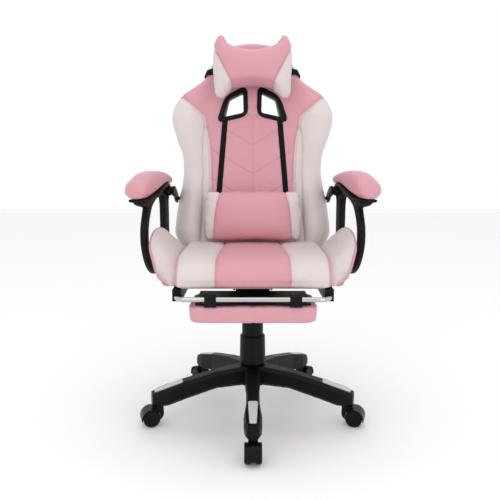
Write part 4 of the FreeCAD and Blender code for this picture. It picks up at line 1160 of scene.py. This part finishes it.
def make_arm_pad(name, side):
    under = smooth([(-178, 684), (-166, 676), *ARM_TOP[1:], (118, 713), (130, 717)], 120)
    over = smooth([(-178, 698), (-172, 712), (-158, 724), (-110, 744), (-50, 752), (20, 749), (96, 739),
                   (122, 731),
                   (130, 724)], 120)
    width = smooth([(-178, 17), (-173, 26), (-162, 32), (-140, 35), (-60, 34), (20, 30.5), (70, 22),
                    (106, 15), (124, 11),
                    (130, 6)], 120)
    loops = []
    spans = ((-177.5, -150, 14), (-146, 112, 44), (115, 129.5, 8))
    for u in np.concatenate([np.linspace(*span) for span in spans]):
        low = np.interp(u, under[:, 0], under[:, 1]) + 0.4
        high = np.interp(u, over[:, 0], over[:, 1])
        half = np.interp(u, width[:, 0], width[:, 1])
        turns = (np.arange(40) + 0.5) / 40 * 2 * math.pi
        c, s = np.cos(turns), np.sin(turns)
        x = half * np.sign(c) * np.abs(c) ** 0.8
        z = (low + high) / 2 + (high - low) / 2 * np.sign(s) * np.abs(s) ** 0.85
        z = np.where(s < 0, np.maximum(z, low), z)
        loops.append(np.column_stack([x, np.full(40, u), z]) * MM)
    made = loft(f"arm_pad_{name}_cover", loops, LEATHER)
    refined(made)
    x, u, z = (spots(made) / MM).T
    creases = wrinkles(made, (40, 20, 40), (90, 50, 90), (30 + side, 33 + side))
    low = np.interp(u, under[:, 0], under[:, 1])
    hem = np.exp(-(((z - low - 8) / 2.6) ** 2))
    displace(made, (1.1 * creases * step(z, low + 6, low + 16) - 2.0 * hem) * MM)
    paint(made, np.full(len(made.data.vertices), -1.0))
    made.data.transform(arm_matrix(side))
    made.data.update()
    stand_in(made, f"arm_pad_{name}", f"arm_{name}")


def make_link(name, side):
    outline = np.vstack([
        smooth([(75, 705), (108, 703), (142, 690), (171, 677)], 40)[:-1],
        smooth([(171, 677), (181, 664), (170, 647)], 24)[:-1],
        smooth([(170, 647), (140, 652), (108, 667), (75, 675)], 40)[:-1],
        smooth([(75, 675), (60, 690), (75, 705)], 24)[:-1],
    ])
    centre = 248 * side * MM
    place = Matrix.Translation((centre, 0, 0)) @ SIDE_VIEW
    parts = [moulding("plate", [outline * MM], 8 * MM, 3 * MM, place, PLASTIC)]
    parts.append(turned("stud", disc(6, 27, 1), across(side, 222, LINK_STUD), PLASTIC))
    parts.append(turned("stud", disc(6, 22, 1), across(side, 250, LINK_PIN), PLASTIC))
    parts.append(turned("cap", disc(11, 4, 1.4), across(side, 250, LINK_STUD), PLASTIC))
    made = together(f"link_{name}_visual", parts)
    stand_in(made, f"arm_link_{name}", f"link_{name}")


# ---------------------------------------------------------------- what CAD keeps
NODE_FINISH = {
    "star_base": PLASTIC, "base_inlays": SILVER, "gas_cylinder": POWDER, "gas_piston": CHROME,
    "lower_dust_cover": PLASTIC, "upper_dust_cover": PLASTIC, "mechanism_housing": POWDER, "tilt_pin": STEEL,
    "tension_knob": PLASTIC, "height_lever": POWDER, "seat_plate": POWDER, "seat_board": PLYWOOD,
    "seat_bolts": STEEL, "recline_seat_plates": POWDER, "arm_seat_brackets": POWDER, "pivot_bolts": STEEL,
    "footrest_guides": POWDER, "footrest_rod": CHROME, "footrest_board": PLASTIC, "back_frame": POWDER,
    "recline_back_plates": POWDER, "arm_back_brackets": POWDER, "recline_lever": POWDER,
}


def finish_cad_nodes():
    for name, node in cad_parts.items():
        finish = NODE_FINISH.get(name)
        if "_wheel_" in name or name.endswith("_hood"):
            finish = GLOSS
        if name.endswith("_pins"):
            finish = GLOSS
        if finish is None:
            continue
        node.data.materials.clear()
        node.data.materials.append(finish)
        soft_edge = node.modifiers.new("soft_edge", "BEVEL")
        width = 0.8
        if name.endswith("_hood"):
            width = 2.4
        if name == "star_base":
            width = 3.0
        soft_edge.width = width * MM
        soft_edge.segments = 3
        soft_edge.limit_method = "ANGLE"
        soft_edge.angle_limit = math.radians(32)


make_camera()
make_studio()
back_cover = make_back()
make_bezels()
make_back_trim(back_cover)
make_head_strap()
make_head_pillow()
make_lumbar_pillow()
make_seat()
for side_name, side_sign in SIDES.items():
    make_wing(side_name, side_sign)
make_footrest_pad()
for side_name, side_sign in SIDES.items():
    make_arm(side_name, side_sign)
finish_cad_nodes()
